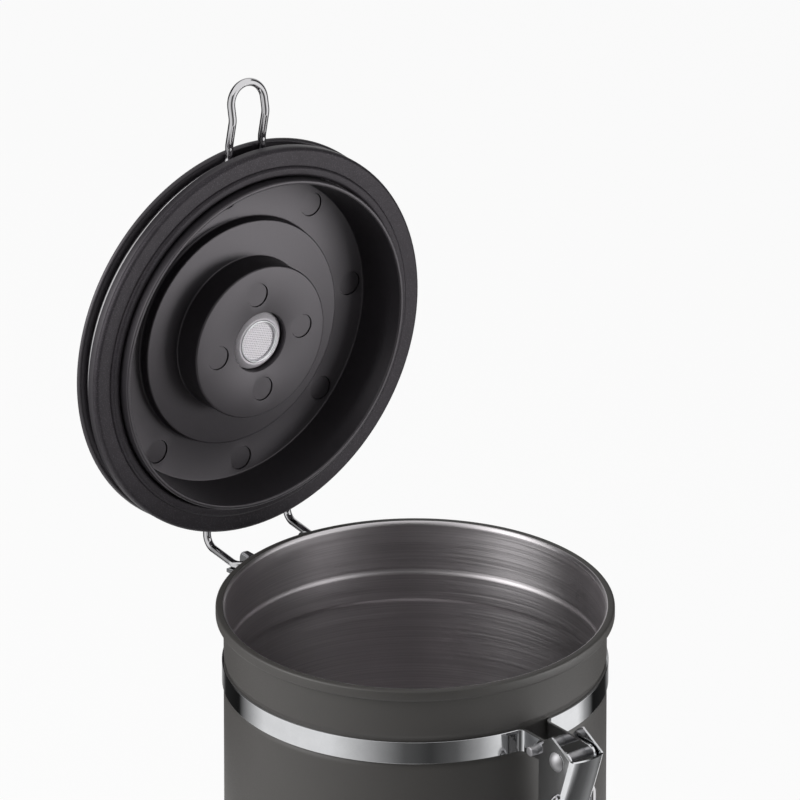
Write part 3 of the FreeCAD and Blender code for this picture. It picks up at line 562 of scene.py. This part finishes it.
class MakeCan(bpy.types.Operator):
    """Painted can with its rolled lip, band groove and brushed inside, and its pressed base"""

    bl_idname = "canister.can"
    bl_label = "Can"

    def execute(self, context):
        sizes, finishes = context.scene.canister_sizes, context.scene.canister_finish
        overhang, wall, lip_height, lip_flat, lip_fall = 2.5, 0.6, 3.6, 2.4, 0.9
        depth, slope, margin = 0.5, 1.2, 1.8
        side = LIP - overhang
        inner = side - wall
        low, high = BAND_LOW.z - margin, BAND_HIGH.z + margin
        under = RIM - lip_height
        mesh = lathe([
            (inner, 0.0), (side, 0.0, 0.2), (side, low, 0.6), (side - depth, low + slope, 0.4),
            (side - depth, high - slope, 0.4), (side, high, 0.6), (side, under, 0.3), (LIP, under, 0.7),
            (LIP, RIM, 0.7), (LIP - lip_flat, RIM, 0.3), (inner, RIM - lip_fall, 0.35), (inner, high, 0.6),
            (inner - depth, high - slope, 0.4), (inner - depth, low + slope, 0.4), (inner, low, 0.6),
        ], sizes.turn_steps)
        # faces that look towards the can's axis are the bare inside
        inward = -0.35
        for face in mesh.faces:
            middle = face.calc_center_median()
            outward = face.normal.x * middle.x + face.normal.y * middle.y
            face.material_index = 1 if outward < inward * middle.xy.length else 0
        steel = brushed_steel(finishes.steel)
        finish(mesh, "can_shell", "can", ["can_body"], [powder_coat(finishes.paint), steel])
        # the base has a turned-up edge and one pressed bead
        edge, edge_height, sheet = inner - 0.05, 2.0, 0.8
        bead, foot, flat, rise = 50.0, 2.7, 1.5, 1.2
        mesh = lathe([
            (0.0, 0.0), (bead - foot, 0.0), (bead - flat, rise, 0.4), (bead + flat, rise, 0.4),
            (bead + foot, 0.0), (edge, 0.0, 0.4), (edge, edge_height), (edge - sheet, edge_height),
            (edge - sheet, sheet, 0.4), (bead + foot, sheet), (bead + flat, rise + sheet, 0.4),
            (bead - flat, rise + sheet, 0.4), (bead - foot, sheet), (0.0, sheet),
        ], sizes.turn_steps)
        finish(mesh, "base_disc", "can", ["base_plate"], [steel])
        return {"FINISHED"}


class MakeBand(bpy.types.Operator):
    """Chrome strap round the neck with its two ears, and the pin that clamps them"""

    bl_idname = "canister.band"
    bl_label = "Neck Band"

    def execute(self, context):
        sizes, finishes = context.scene.canister_sizes, context.scene.canister_finish
        outer, far = BAND_HIGH.x, BAND_LOW.y
        ear, bend, sheet, tip_round = 5.25, 2.2, 1.0, 3.2
        across = ear + bend
        along = -math.sqrt((outer + bend) ** 2 - across ** 2)
        gap = math.asin(across / (outer + bend))
        mesh = bend_strap(
            ear, far, (BAND_LOW.z, BAND_HIGH.z), across, along, math.pi / 2 - gap, math.tau - 2 * gap,
            sizes.turn_steps)
        tips = [vertex for vertex in mesh.verts if vertex.co.y < far + NEAR]
        bmesh.ops.bevel(
            mesh, geom=tips, offset=tip_round, segments=6, profile=0.5, affect="VERTICES", material=-1)
        thicken(mesh, sheet, Vector((0, outer, LEVER_PIVOT.z)), Vector((0, 1, 0)))
        pin_low, pin_high = (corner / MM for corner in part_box("clamp_pin"))
        pin_place = Vector((0, (pin_low.y + pin_high.y) / 2, LEVER_PIVOT.z))
        pin, pin_hole, rivet_hole = 1.65, 1.7, 1.55
        piece = drill(mesh, "neck_strap", [
            (LEVER_PIVOT, ACROSS, rivet_hole, THROUGH), (pin_place, ACROSS, pin_hole, THROUGH)])
        chrome = plated_steel(finishes.chrome)
        finish(soften(piece, sizes.edge_round), "neck_strap", "can", ["neck_band"], [chrome])
        mesh = lathe([
            (0.0, pin_low.x), (pin, pin_low.x, 0.4), (pin, pin_high.x, 0.4), (0.0, pin_high.x)], PIN_STEPS)
        finish(lay_across(mesh, pin_place), "clamp_bolt", "can", ["clamp_pin"],
               [tumbled_steel(finishes.tumbled)])
        return {"FINISHED"}


def fold_lever():
    """Lever's sheet about its pivot: a bowed, crowned front folded back into two cheeks, its tip round."""
    half, bow, crown, sheet, fold, tip_round = 6.5, 300.0, 1.4, 0.7, 1.1, 3.4
    top, tip = Vector((0, -9.0, 2.2)), Vector((0, 9.0, -42.8))
    chord = tip - top
    from_chord = math.sqrt(bow ** 2 - chord.length_squared / 4)
    bow_centre = (top + tip) / 2 - chord.cross(ACROSS).normalized() * from_chord
    # the front is crowned across its width
    crown_arc = (half ** 2 + crown ** 2) / (2 * crown)
    mesh = bmesh.new()
    start = mesh.verts.new((-half, top.y + crown, top.z))
    bmesh.ops.spin(
        mesh, geom=[start], cent=(0, top.y + crown_arc, top.z), axis=UPRIGHT,
        angle=2 * math.asin(half / crown_arc), steps=8)
    swing(mesh, mesh.edges[:], bow_centre, ACROSS, 2 * math.asin(chord.length / 2 / bow), 12)
    # a cheek's back edge from the heel up, and the centre and turn of the shoulder, an arc of 11 mm
    back_edge = ((tip.y + 2.6, tip.z), (tip.y, -14.8), (tip.y, -2.8))
    shoulder, shoulder_turn = (-2.0, -2.55), math.radians(66.7)
    folds = []
    for side in (-half, half):
        front = [edge for edge in mesh.edges if all(abs(vertex.co.x - side) < NEAR for vertex in edge.verts)]
        low, high = (
            min(mesh.verts, key=lambda vertex: (vertex.co - Vector((side, end.y, end.z))).length)
            for end in (tip, top))
        back = [mesh.verts.new((side, y, z)) for y, z in back_edge]
        loop = [mesh.edges.new(pair) for pair in zip([low] + back, back)]
        spun = bmesh.ops.spin(
            mesh, geom=[back[-1]], cent=(side, *shoulder), axis=ACROSS, angle=shoulder_turn, steps=10)
        loop += [edge for edge in mesh.edges if not edge.link_faces and edge not in loop]
        last = next(item for item in spun["geom_last"] if isinstance(item, bmesh.types.BMVert))
        loop.append(mesh.edges.new((last, high)))
        bmesh.ops.edgeloop_fill(mesh, edges=front + loop)
        folds += front
    bmesh.ops.bevel(mesh, geom=folds, offset=fold, segments=5, profile=0.5, affect="EDGES", material=-1)
    cheeks = [face for face in mesh.faces if abs(face.normal.x) > 0.999]
    bmesh.ops.inset_individual(mesh, faces=cheeks, thickness=0.2, use_even_offset=True)
    # the tip's two corners are cut round
    for side in (1, -1):
        corner = Vector((side * (half - tip_round), 0, tip.z + tip_round))
        for angle in (20, 45, 70):
            out = Vector((side * math.sin(math.radians(angle)), 0, -math.cos(math.radians(angle))))
            bmesh.ops.bisect_plane(
                mesh, geom=mesh.verts[:] + mesh.edges[:] + mesh.faces[:], clear_outer=True, plane_no=out,
                plane_co=corner + out * tip_round)
    bmesh.ops.translate(mesh, vec=LEVER_PIVOT, verts=mesh.verts[:])
    thicken(mesh, sheet, LEVER_PIVOT + (top + tip) / 2, Vector((0, -1, 0)))
    return mesh


class MakeLatch(bpy.types.Operator):
    """Toggle latch: the folded lever, its rivet and the wire link"""

    bl_idname = "canister.latch"
    bl_label = "Latch"

    def execute(self, context):
        sizes, finishes = context.scene.canister_sizes, context.scene.canister_finish
        rivet_hole, link_hole = 1.55, 1.15
        piece = drill(fold_lever(), "lever_channel", [
            (LEVER_PIVOT, ACROSS, rivet_hole, THROUGH), (LINK_PIVOT, ACROSS, link_hole, THROUGH)])
        pressed = plated_steel(finishes.chrome, "chrome_plated_pressing", 0.09, 0.16)
        finish(soften(piece, sizes.edge_round), "lever_channel", "lever", ["latch_lever"], [pressed])
        # the rivet's two domes, from the crown down to the cheek, on a plain shank
        dome = [(0.0, 8.2), (0.65, 8.15), (1.3, 7.99), (1.9, 7.73), (2.5, 7.35), (2.95, 6.95), (3.25, 6.6)]
        shank, cheek = 1.5, dome[-1][1]
        other_dome = [(radius, -height) for radius, height in reversed(dome)]
        mesh = lathe(dome + [(shank, cheek), (shank, -cheek)] + other_dome, 48)
        finish(lay_across(mesh, LEVER_PIVOT), "pivot_rivet", "can", ["lever_rivet"],
               [tumbled_steel(finishes.tumbled)])
        wire, aside, drop, bends = 1.1, 7.9, -44.0, (1.6, 4.5)
        start = Vector((3.6, 0, 0))
        mesh = bmesh.new()
        row = wire_start(mesh, wire, sizes.wire_steps, start, ACROSS)
        corners = [Vector((aside, 0, 0)), Vector((aside, 0, drop)), Vector((0, 0, drop))]
        run_wire(mesh, row, start, corners, bends)
        close_halves(mesh)
        bmesh.ops.translate(mesh, vec=LINK_PIVOT, verts=mesh.verts[:])
        finish(mesh, "wire_link", "link", ["closing_link"], [plated_wire(finishes.nickel)])
        return {"FINISHED"}


class MakeBracket(bpy.types.Operator):
    """Rear bracket of the hinge: a stamped channel with two lugs"""

    bl_idname = "canister.bracket"
    bl_label = "Hinge Bracket"

    def execute(self, context):
        sizes = context.scene.canister_sizes
        chrome = plated_steel(context.scene.canister_finish.chrome)
        web, half, bend, sheet, hinge_hole = BAND_HIGH.x + 0.05, 12.2, 2.0, 1.2, 1.35
        across = half - bend
        along = math.sqrt((web + bend) ** 2 - across ** 2)
        gap = math.asin(across / (web + bend))
        back, low, high = HINGE.y + 4.0, BAND_LOW.z, HINGE.z + 3.8
        mesh = bend_strap(half, back, (low, high), across, along, math.pi / 2 + gap, 2 * gap, 16)
        for level, rounding in ((high, 3.4), (low, 7.0)):
            tips = [v for v in mesh.verts if v.co.y > back - NEAR and abs(v.co.z - level) < NEAR]
            bmesh.ops.bevel(
                mesh, geom=tips, offset=rounding, segments=8, profile=0.5, affect="VERTICES", material=-1)
        thicken(mesh, sheet, Vector((half, back - 5, (low + high) / 2)), ACROSS)
        lug, lug_aside, lug_drop = (5.4, 3.0, 1.2), 14.8, 2.2
        for side in (1, -1):
            place = Matrix.Translation((side * lug_aside, back - lug[1] / 2, HINGE.z - lug_drop))
            bmesh.ops.create_cube(mesh, size=1.0, matrix=place @ Matrix.Diagonal((*lug, 1.0)))
        piece = drill(mesh, "bail_bracket", [(HINGE, ACROSS, hinge_hole, THROUGH)])
        finish(soften(piece, sizes.edge_round), "bail_bracket", "can", ["hinge_bracket"], [chrome])
        return {"FINISHED"}


class MakeBail(bpy.types.Operator):
    """Bail: one bent wire from hinge pin to hinge pin, round the lid and out into the latch loop"""

    bl_idname = "canister.bail"
    bl_label = "Bail Wire"

    def execute(self, context):
        sizes, finishes = context.scene.canister_sizes, context.scene.canister_finish
        wire, level, ring, leg, loop, bend = 1.3, 4.9, 61.7, 16.0, 6.5, 3.0
        pin_end, leg_bends, loop_bends = 9.0, (3.0, 4.0), (6.0, 6.0)
        # places along the lid of the leg's knee and the loop's neck, dip and tip
        knee, neck, dip_place, tip_place, dip_depth = 69.0, -67.5, -77.0, -87.7, 2.0
        drop = SEAL_PLANE - HINGE.y
        start = Vector((pin_end, HINGE.y, -drop))
        mesh = bmesh.new()
        row = wire_start(mesh, wire, sizes.wire_steps, start, ACROSS)
        rear = math.sqrt((ring + bend) ** 2 - (leg + bend) ** 2)
        front = -math.sqrt((ring + bend) ** 2 - (loop + bend) ** 2)
        rear_angle = math.atan2(rear, leg + bend)
        front_angle = math.atan2(front, loop + bend)
        row = run_wire(mesh, row, start, [
            Vector((leg, HINGE.y, -drop)), Vector((leg, knee, level)), Vector((leg, rear, level))],
            leg_bends)
        row = swing(mesh, row, (leg + bend, rear, level), UPRIGHT, rear_angle)
        row = swing(mesh, row, (0, 0, level), UPRIGHT, front_angle - rear_angle, sizes.turn_steps // 2)
        row = swing(mesh, row, (loop + bend, front, level), UPRIGHT, -front_angle)
        dip, tip = Vector((loop, dip_place, level - dip_depth)), Vector((0, tip_place, level))
        outward = Vector((0, tip.y - dip.y, tip.z - dip.z)).normalized()
        round_centre = tip - outward * loop
        end = round_centre + ACROSS * loop
        row = run_wire(mesh, row, Vector((loop, front, level)), [
            Vector((loop, neck, level)), dip, end], loop_bends)
        swing(mesh, row, round_centre, ACROSS.cross(outward), math.pi / 2, 12)
        close_halves(mesh)
        finish(stand_up(mesh), "bail", "lid", ["bail_wire"], [plated_wire(finishes.nickel)])
        return {"FINISHED"}


def mark_plug(mesh, levels):
    """Sink the marks of the mould's pins in the plug, each a ground face with a thin gap round it."""
    mark, gap, sunk, hole_length, pin_length = 4.0, 0.22, 0.4, 2.0, 0.8
    start = math.radians(-3)
    places = []
    for count, ring, level in levels:
        for turn in (start + math.tau * place / count for place in range(count)):
            places.append(Vector((ring * math.cos(turn), ring * math.sin(turn), level)))
    piece = drill(mesh, "plug", [(place, UPRIGHT, mark, hole_length) for place in places])
    mesh = bmesh.new()
    mesh.from_mesh(piece.data)
    pin = (mark - gap) * MM
    for place in places:
        middle = place + UPRIGHT * (sunk + pin_length / 2)
        made = bmesh.ops.create_cone(
            mesh, cap_ends=True, segments=PIN_STEPS, radius1=pin, radius2=pin, depth=pin_length * MM,
            matrix=Matrix.Translation(middle * MM))["verts"]
        for face in {face for vertex in made for face in vertex.link_faces}:
            face.material_index = 1
    mesh.to_mesh(piece.data)
    mesh.free()
    return piece


class MakeLid(bpy.types.Operator):
    """Moulded lid: the sloped cover, the plug with its platform, hub and moulding marks, and the seal"""

    bl_idname = "canister.lid"
    bl_label = "Lid"

    def execute(self, context):
        sizes, finishes = context.scene.canister_sizes, context.scene.canister_finish
        plastic = moulded_plastic(finishes.plastic, "black_polypropylene", 0.45)
        edge, edge_low, edge_high, skirt, rib_end = COVER_HIGH.x, 7.0, 8.2, 60.35, 9.0
        cap_hole, cap_well, under = 5.4, 10.8, 13.4
        slope_top, slope_foot, top_edge, shoulder = 54.4, 61.3, 55.9, (61.13, 12.79, 5.9)
        mesh = lathe([
            (cap_hole, under), (slope_top, under), (slope_foot, rib_end), (skirt, rib_end),
            (skirt, edge_low, 0.2), (edge, edge_low, 1.0), (edge, edge_high), shoulder, (top_edge, COVER_TOP),
            (cap_well, COVER_TOP, 0.25), (cap_well, CAP_SEAT), (cap_hole, CAP_SEAT),
        ], sizes.turn_steps)
        finish(stand_up(mesh), "cover", "lid", ["lid_cover"], [plastic])
        # radii of the plug from the valve's stem out, then its levels from the hub's face back
        stem, well, hub, platform = 6.5, 10.0, 25.6, 37.7
        wall_top, wall_foot, wall, rib = 51.6, 54.0, 55.4, 60.2
        wall_end, hub_face, flange_back = -5.5, -2.4, 2.8
        well_floor, well_back, step, floor = 5.0, 6.6, 7.3, 11.0
        sheet, thick = 1.8, 2.0
        mesh = lathe([
            (stem, well_floor), (well, well_floor), (well, hub_face, 0.3), (hub, hub_face, 0.6),
            (hub, step, 0.5), (platform, step, 0.5), (platform, floor, 0.7), (wall_top, floor, 0.4),
            (wall_foot, wall_end, 0.5), (wall, wall_end, 0.5), (wall, SEAT), (FLANGE, SEAT, 0.15),
            (FLANGE, flange_back, 0.4), (rib, flange_back, 0.3), (rib, rib_end), (rib - thick, rib_end),
            (rib - thick, flange_back), (wall, flange_back), (wall - thick, floor + sheet),
            (platform - sheet, floor + sheet), (platform - sheet, step + sheet), (hub - sheet, step + sheet),
            (hub - sheet, hub_face + sheet), (well + thick, hub_face + sheet), (well + thick, well_back),
            (stem, well_back),
        ], sizes.turn_steps)
        # four marks on the hub's face and eight on the floor, each ring with its radius
        piece = mark_plug(mesh, ((4, 16.6, hub_face), (8, 46.3, floor)))
        ground = moulded_plastic(finishes.plastic, "ground_pin_marks", 0.6, 0.3, 0.4)
        finish(stand_up(piece), "plug", "lid", ["lid_plug"], [plastic, ground])
        inside, ridge, ridge_face, face = 55.7, 59.0, -2.6, -1.5
        mesh = lathe([
            (inside, SEAT), (inside, ridge_face, 1.1), (ridge, ridge_face, 1.1), (ridge, face, 0.3),
            (FLANGE, face, 1.3), (FLANGE, SEAT, 0.1),
        ], sizes.turn_steps)
        rubber = seal_rubber(finishes.rubber, "silicone_rubber")
        finish(stand_up(mesh), "seal", "lid", ["lid_gasket"], [rubber])
        return {"FINISHED"}


def weave_filter(mesh, pitch):
    """Weave flat wires both ways over the grey disc that paints the shade between them; their ends lie under
    the filter's ring.
    """
    wire, sides, reach, flat, rise, level, slant = 0.26, 6, 6.85, 0.3, 0.1, -1.02, math.radians(20)
    count = int(reach / pitch)
    for turn in (0.0, math.pi / 2):
        lay = Matrix.Translation((0, 0, level)) @ Matrix.Diagonal((1, 1, flat, 1))
        lay = lay @ Matrix.Rotation(turn + slant, 4, "Z")
        for place in range(-count, count + 1):
            aside = place * pitch
            crossings = max(1, int(2 * math.sqrt(reach ** 2 - aside ** 2) / pitch))
            strand = bmesh.new()
            row = wire_start(strand, wire, sides, Vector((-crossings * pitch / 2, aside, 0)), ACROSS)
            for step in range(crossings):
                lift = rise if (step + place + (turn > 0)) % 2 else -rise
                row = extend(strand, row, Vector((pitch / 2, 0, lift)))
                row = extend(strand, row, Vector((pitch / 2, 0, -lift)))
            bmesh.ops.transform(strand, matrix=lay, verts=strand.verts[:])
            part = bpy.data.meshes.new("strand")
            strand.to_mesh(part)
            strand.free()
            mesh.from_mesh(part)
            bpy.data.meshes.remove(part)
    bmesh.ops.recalc_face_normals(mesh, faces=mesh.faces[:])


class MakeValve(bpy.types.Operator):
    """One-way valve in the hub: housing, woven filter and its ring, rubber disc and vented cap"""

    bl_idname = "canister.valve"
    bl_label = "Valve"

    def execute(self, context):
        sizes, finishes = context.scene.canister_sizes, context.scene.canister_finish
        grey = moulded_plastic(finishes.valve, "grey_polypropylene", 0.5)
        # radii of the housing from the bore out, then its levels from the face back
        bore, stem, pocket, face_edge, body = 5.2, 6.35, 7.2, 7.8, half_width("valve_housing")
        face, pocket_floor, body_front, shoulder = -1.8, -0.8, 0.1, 5.0
        bridge, bridge_back, stem_end = 8.0, 9.0, 13.1
        mesh = lathe([
            (0.0, bridge), (bore, bridge), (bore, pocket_floor), (pocket, pocket_floor), (pocket, face, 0.15),
            (face_edge, face), (body, body_front, 0.2), (body, shoulder), (stem, shoulder), (stem, stem_end),
            (bore, stem_end), (bore, bridge_back), (0.0, bridge_back),
        ], VALVE_STEPS)
        finish(stand_up(mesh), "valve_seat", "lid", ["valve_housing"], [grey])
        inner, crest, outer = 6.2, 6.6, half_width("filter_ring")
        front, inner_front, back = -2.1, -1.4, -1.2
        mesh = lathe([
            (inner, inner_front), (crest, front, 0.15), (outer, front, 0.2), (outer, back), (inner, back),
        ], VALVE_STEPS)
        finish(stand_up(mesh), "filter_clip", "lid", ["filter_ring"], [plated_steel(finishes.chrome)])
        # a grey disc behind the wires paints the shade seen between them
        bed, bed_face, bed_back = half_width("valve_filter"), -0.92, -0.85
        mesh = lathe([(0.0, bed_face), (bed, bed_face), (bed, bed_back), (0.0, bed_back)], VALVE_STEPS)
        for item in mesh.faces:
            item.material_index = 1
        weave_filter(mesh, sizes.mesh_pitch / MM)
        cloth = filter_wire(finishes.filter_cloth)
        under_cloth = moulded_plastic(finishes.filter_bed, "painted_shade_between_wires", 0.5)
        finish(stand_up(mesh), "filter_mesh", "lid", ["valve_filter"], [cloth, under_cloth],
               sharp=75)
        flap, flap_face, flap_back = half_width("valve_membrane"), 9.05, 9.55
        mesh = lathe([(0.0, flap_face), (flap, flap_face, 0.1), (flap, flap_back, 0.1), (0.0, flap_back)], 64)
        rubber = seal_rubber(finishes.flap, "clear_silicone")
        finish(stand_up(mesh), "valve_flap", "valve_disc", ["valve_membrane"], [rubber])
        spigot, spigot_bore, spigot_end, cap = 5.0, 3.8, 10.45, half_width("valve_cap")
        mesh = lathe([
            (0.0, CAP_SEAT), (spigot_bore, CAP_SEAT), (spigot_bore, spigot_end), (spigot, spigot_end),
            (spigot, CAP_SEAT), (cap, CAP_SEAT), (cap, COVER_TOP, 0.3), (0.0, COVER_TOP),
        ], VALVE_STEPS)
        vents, vent, vent_ring, vent_length = 6, 0.8, 2.6, 4.0
        middle = Vector((0, 0, (CAP_SEAT + COVER_TOP) / 2))
        turns = [math.tau * place / vents for place in range(vents)]
        piece = drill(mesh, "vent_cap", [
            (middle + Vector((math.cos(turn), math.sin(turn), 0)) * vent_ring, UPRIGHT, vent, vent_length)
            for turn in turns])
        finish(stand_up(piece), "vent_cap", "lid", ["valve_cap"], [grey])
        return {"FINISHED"}


def aim_camera(scene, stage):
    """Camera at the stage's angles and lens."""
    turn, tilt = stage.azimuth, stage.elevation
    back = Vector((math.sin(turn) * math.cos(tilt), -math.cos(turn) * math.cos(tilt), math.sin(tilt)))
    right = Vector((math.cos(turn), math.sin(turn), 0))
    up = back.cross(right)
    camera = bpy.data.objects.new("camera", bpy.data.cameras.new("camera"))
    scene.collection.objects.link(camera)
    camera.data.sensor_width = 36
    camera.data.lens = stage.focal_length
    camera.data.clip_start, camera.data.clip_end = 0.1, 100
    camera.location = (Vector((0, 0, RIM)) + right * VIEW_RIGHT + up * VIEW_UP + back * VIEW_BACK) * MM
    camera.rotation_mode = "QUATERNION"
    camera.rotation_quaternion = (-back).to_track_quat("-Z", "Y")
    scene.camera = camera


def hang_lamp(scene, name, place, width, height, power):
    """Area lamp at a place in metres, turned to the can's rim."""
    lamp = bpy.data.lights.new(name, "AREA")
    lamp.shape = "RECTANGLE"
    lamp.energy, lamp.size, lamp.size_y = power, width, height
    holder = bpy.data.objects.new(name, lamp)
    scene.collection.objects.link(holder)
    holder.location = place
    holder.rotation_mode = "QUATERNION"
    holder.rotation_quaternion = (LAMP_AIM - place).to_track_quat("-Z", "Y")


def seen_rays(tree):
    """One for rays that show the surroundings: straight from the camera, mirrored or through glass."""
    rays = add(tree, "ShaderNodeLightPath")
    first = add(tree, "ShaderNodeMath", {0: rays.outputs["Is Camera Ray"], 1: rays.outputs["Is Glossy Ray"]},
                operation="MAXIMUM")
    both = add(tree, "ShaderNodeMath", {0: first.outputs[0], 1: rays.outputs["Is Transmission Ray"]},
               operation="MAXIMUM")
    return both.outputs[0]


def white_surroundings(scene, strength):
    """World that looks white and lights softly."""
    world = bpy.data.worlds.new("white_surroundings")
    scene.world = world
    world.use_nodes = True
    tree = world.node_tree
    tree.nodes.clear()
    seen = seen_rays(tree)
    plain = add(tree, "ShaderNodeBackground", {"Color": (1, 1, 1, 1), "Strength": strength})
    white = add(tree, "ShaderNodeBackground", {"Color": (1, 1, 1, 1), "Strength": 1.0})
    both = add(tree, "ShaderNodeMixShader", {0: seen, 1: plain.outputs[0], 2: white.outputs[0]})
    add(tree, "ShaderNodeOutputWorld", {"Surface": both.outputs[0]})


def lay_floor():
    """White paper floor that keeps a faint shadow."""
    half, glow_share = 12000, 0.93
    mesh = bmesh.new()
    bmesh.ops.create_grid(mesh, x_segments=1, y_segments=1, size=half)
    floor = to_object(mesh, "floor")
    material, tree, shader = new_material("white_paper_floor")
    feed(tree, shader, {"Base Color": linear("#f4f4f4"), "Roughness": 0.9})
    glow = add(tree, "ShaderNodeEmission", {"Color": (1, 1, 1, 1), "Strength": 1.0})
    share = add(tree, "ShaderNodeMath", {0: seen_rays(tree), 1: glow_share}, operation="MULTIPLY")
    both = add(tree, "ShaderNodeMixShader", {
        0: share.outputs[0], 1: shader.outputs[0], 2: glow.outputs[0]})
    output = next(node for node in tree.nodes if node.bl_idname == "ShaderNodeOutputMaterial")
    feed(tree, output, {"Surface": both.outputs[0]})
    floor.data.materials.append(material)


def mirrored_only(mesh, name, cloth, mapping, gradient, greys):
    """Stage piece only mirrored rays see: black, with a painted reflection glowing in greys along a gradient.
    """
    # cloth names the material of the painted reflection
    piece = to_object(mesh, name)
    material, tree, shader = new_material(cloth)
    place = add(tree, "ShaderNodeTexCoord").outputs["Object"]
    laid = add(tree, "ShaderNodeMapping", {"Vector": place, **mapping})
    run = add(tree, "ShaderNodeTexGradient", {"Vector": laid.outputs["Vector"]}, gradient_type=gradient)
    glow = add(tree, "ShaderNodeValToRGB", {"Fac": run.outputs["Fac"]},
               stops=[(share, linear(grey)) for share, grey in greys])
    feed(tree, shader, {
        "Base Color": linear("#000000"), "Specular IOR Level": 0.0, "Emission Strength": 1.0,
        "Emission Color": glow.outputs["Color"]})
    piece.data.materials.append(material)
    for rays in ("camera", "diffuse", "shadow", "transmission"):
        setattr(piece, f"visible_{rays}", False)


class MakeStage(bpy.types.Operator):
    """Camera, lamps, white surroundings, pale floor, and the glowing walls and card that paint reflections in
    the metal
    """

    bl_idname = "canister.stage"
    bl_label = "Stage"

    def execute(self, context):
        scene, stage = context.scene, context.scene.canister_stage
        scene.view_settings.view_transform = "Standard"
        aim_camera(scene, stage)
        hang_lamp(scene, "key", Vector((-1.05, 0.3, 0.7)), 0.8, 0.8, stage.key_power)
        hang_lamp(scene, "fill", Vector((0.46, -0.51, 0.11)), 0.36, 0.18, stage.fill_power)
        white_surroundings(scene, stage.soft_light)
        lay_floor()
        # walls round the can that glow with a painted reflection, seen only in mirrored rays
        mesh = bmesh.new()
        mesh.edges.new([mesh.verts.new((0, -WALL_RADIUS, height)) for height in (0, WALL_HEIGHT)])
        bmesh.ops.spin(
            mesh, geom=mesh.verts[:] + mesh.edges[:], cent=(0, 0, 0), axis=UPRIGHT, angle=math.tau, steps=64,
            use_merge=True)
        bmesh.ops.remove_doubles(mesh, verts=mesh.verts[:], dist=NEAR)
        # half of a turn is the camera's side; more is to the right of the picture
        mirrored_only(
            mesh, "painted_reflection_walls", "painted_reflection_wall_glow",
            {"Rotation": (0, 0, math.radians(90) - stage.azimuth)}, "RADIAL",
            [(0.5 + degrees / 360, grey) for degrees, grey in WALL_GREYS])
        # a card on the floor right of and in front of the can, glowing with a painted reflection that only
        # mirrored rays see
        mesh = bmesh.new()
        bmesh.ops.create_grid(
            mesh, x_segments=1, y_segments=1, size=1,
            matrix=Matrix.Translation(CARD_PLACE) @ Matrix.Diagonal((*CARD_HALF, 1, 1)))
        mirrored_only(
            mesh, "painted_reflection_card", "painted_reflection_card_glow",
            {"Location": (CARD_START / CARD_FADE, 0, 0), "Rotation": (0, 0, CARD_TURN),
             "Scale": (per(CARD_FADE), per(CARD_FADE), 1)}, "LINEAR", CARD_GREYS)
        return {"FINISHED"}


class CanisterPanel(bpy.types.Panel):
    """The canister's pieces and finishes"""

    bl_idname = "VIEW3D_PT_canister"
    bl_label = "Coffee Canister"
    bl_space_type = "VIEW_3D"
    bl_region_type = "UI"
    bl_category = "Canister"

    def draw(self, context):
        scene = context.scene
        for operator in PIECES:
            self.layout.operator(operator.bl_idname)
        for group in (scene.canister_sizes, scene.canister_finish, scene.canister_stage):
            box = self.layout.box()
            for name in group.bl_rna.properties.keys():
                if name not in ("rna_type", "name"):
                    box.prop(group, name)


PIECES = (MakeCan, MakeBand, MakeLatch, MakeBracket, MakeBail, MakeLid, MakeValve, MakeStage)
CLASSES = (CanisterSizes, CanisterFinish, CanisterStage) + PIECES + (CanisterPanel,)


def register():
    for item in CLASSES:
        bpy.utils.register_class(item)
    bpy.types.Scene.canister_sizes = PointerProperty(type=CanisterSizes)
    bpy.types.Scene.canister_finish = PointerProperty(type=CanisterFinish)
    bpy.types.Scene.canister_stage = PointerProperty(type=CanisterStage)


def unregister():
    del bpy.types.Scene.canister_stage
    del bpy.types.Scene.canister_finish
    del bpy.types.Scene.canister_sizes
    for item in reversed(CLASSES):
        bpy.utils.unregister_class(item)


def main():
    register()
    bpy.ops.canister.can()
    bpy.ops.canister.band()
    bpy.ops.canister.latch()
    bpy.ops.canister.bracket()
    bpy.ops.canister.bail()
    bpy.ops.canister.lid()
    bpy.ops.canister.valve()
    bpy.ops.canister.stage()


if __name__ == "__main__":
    main()
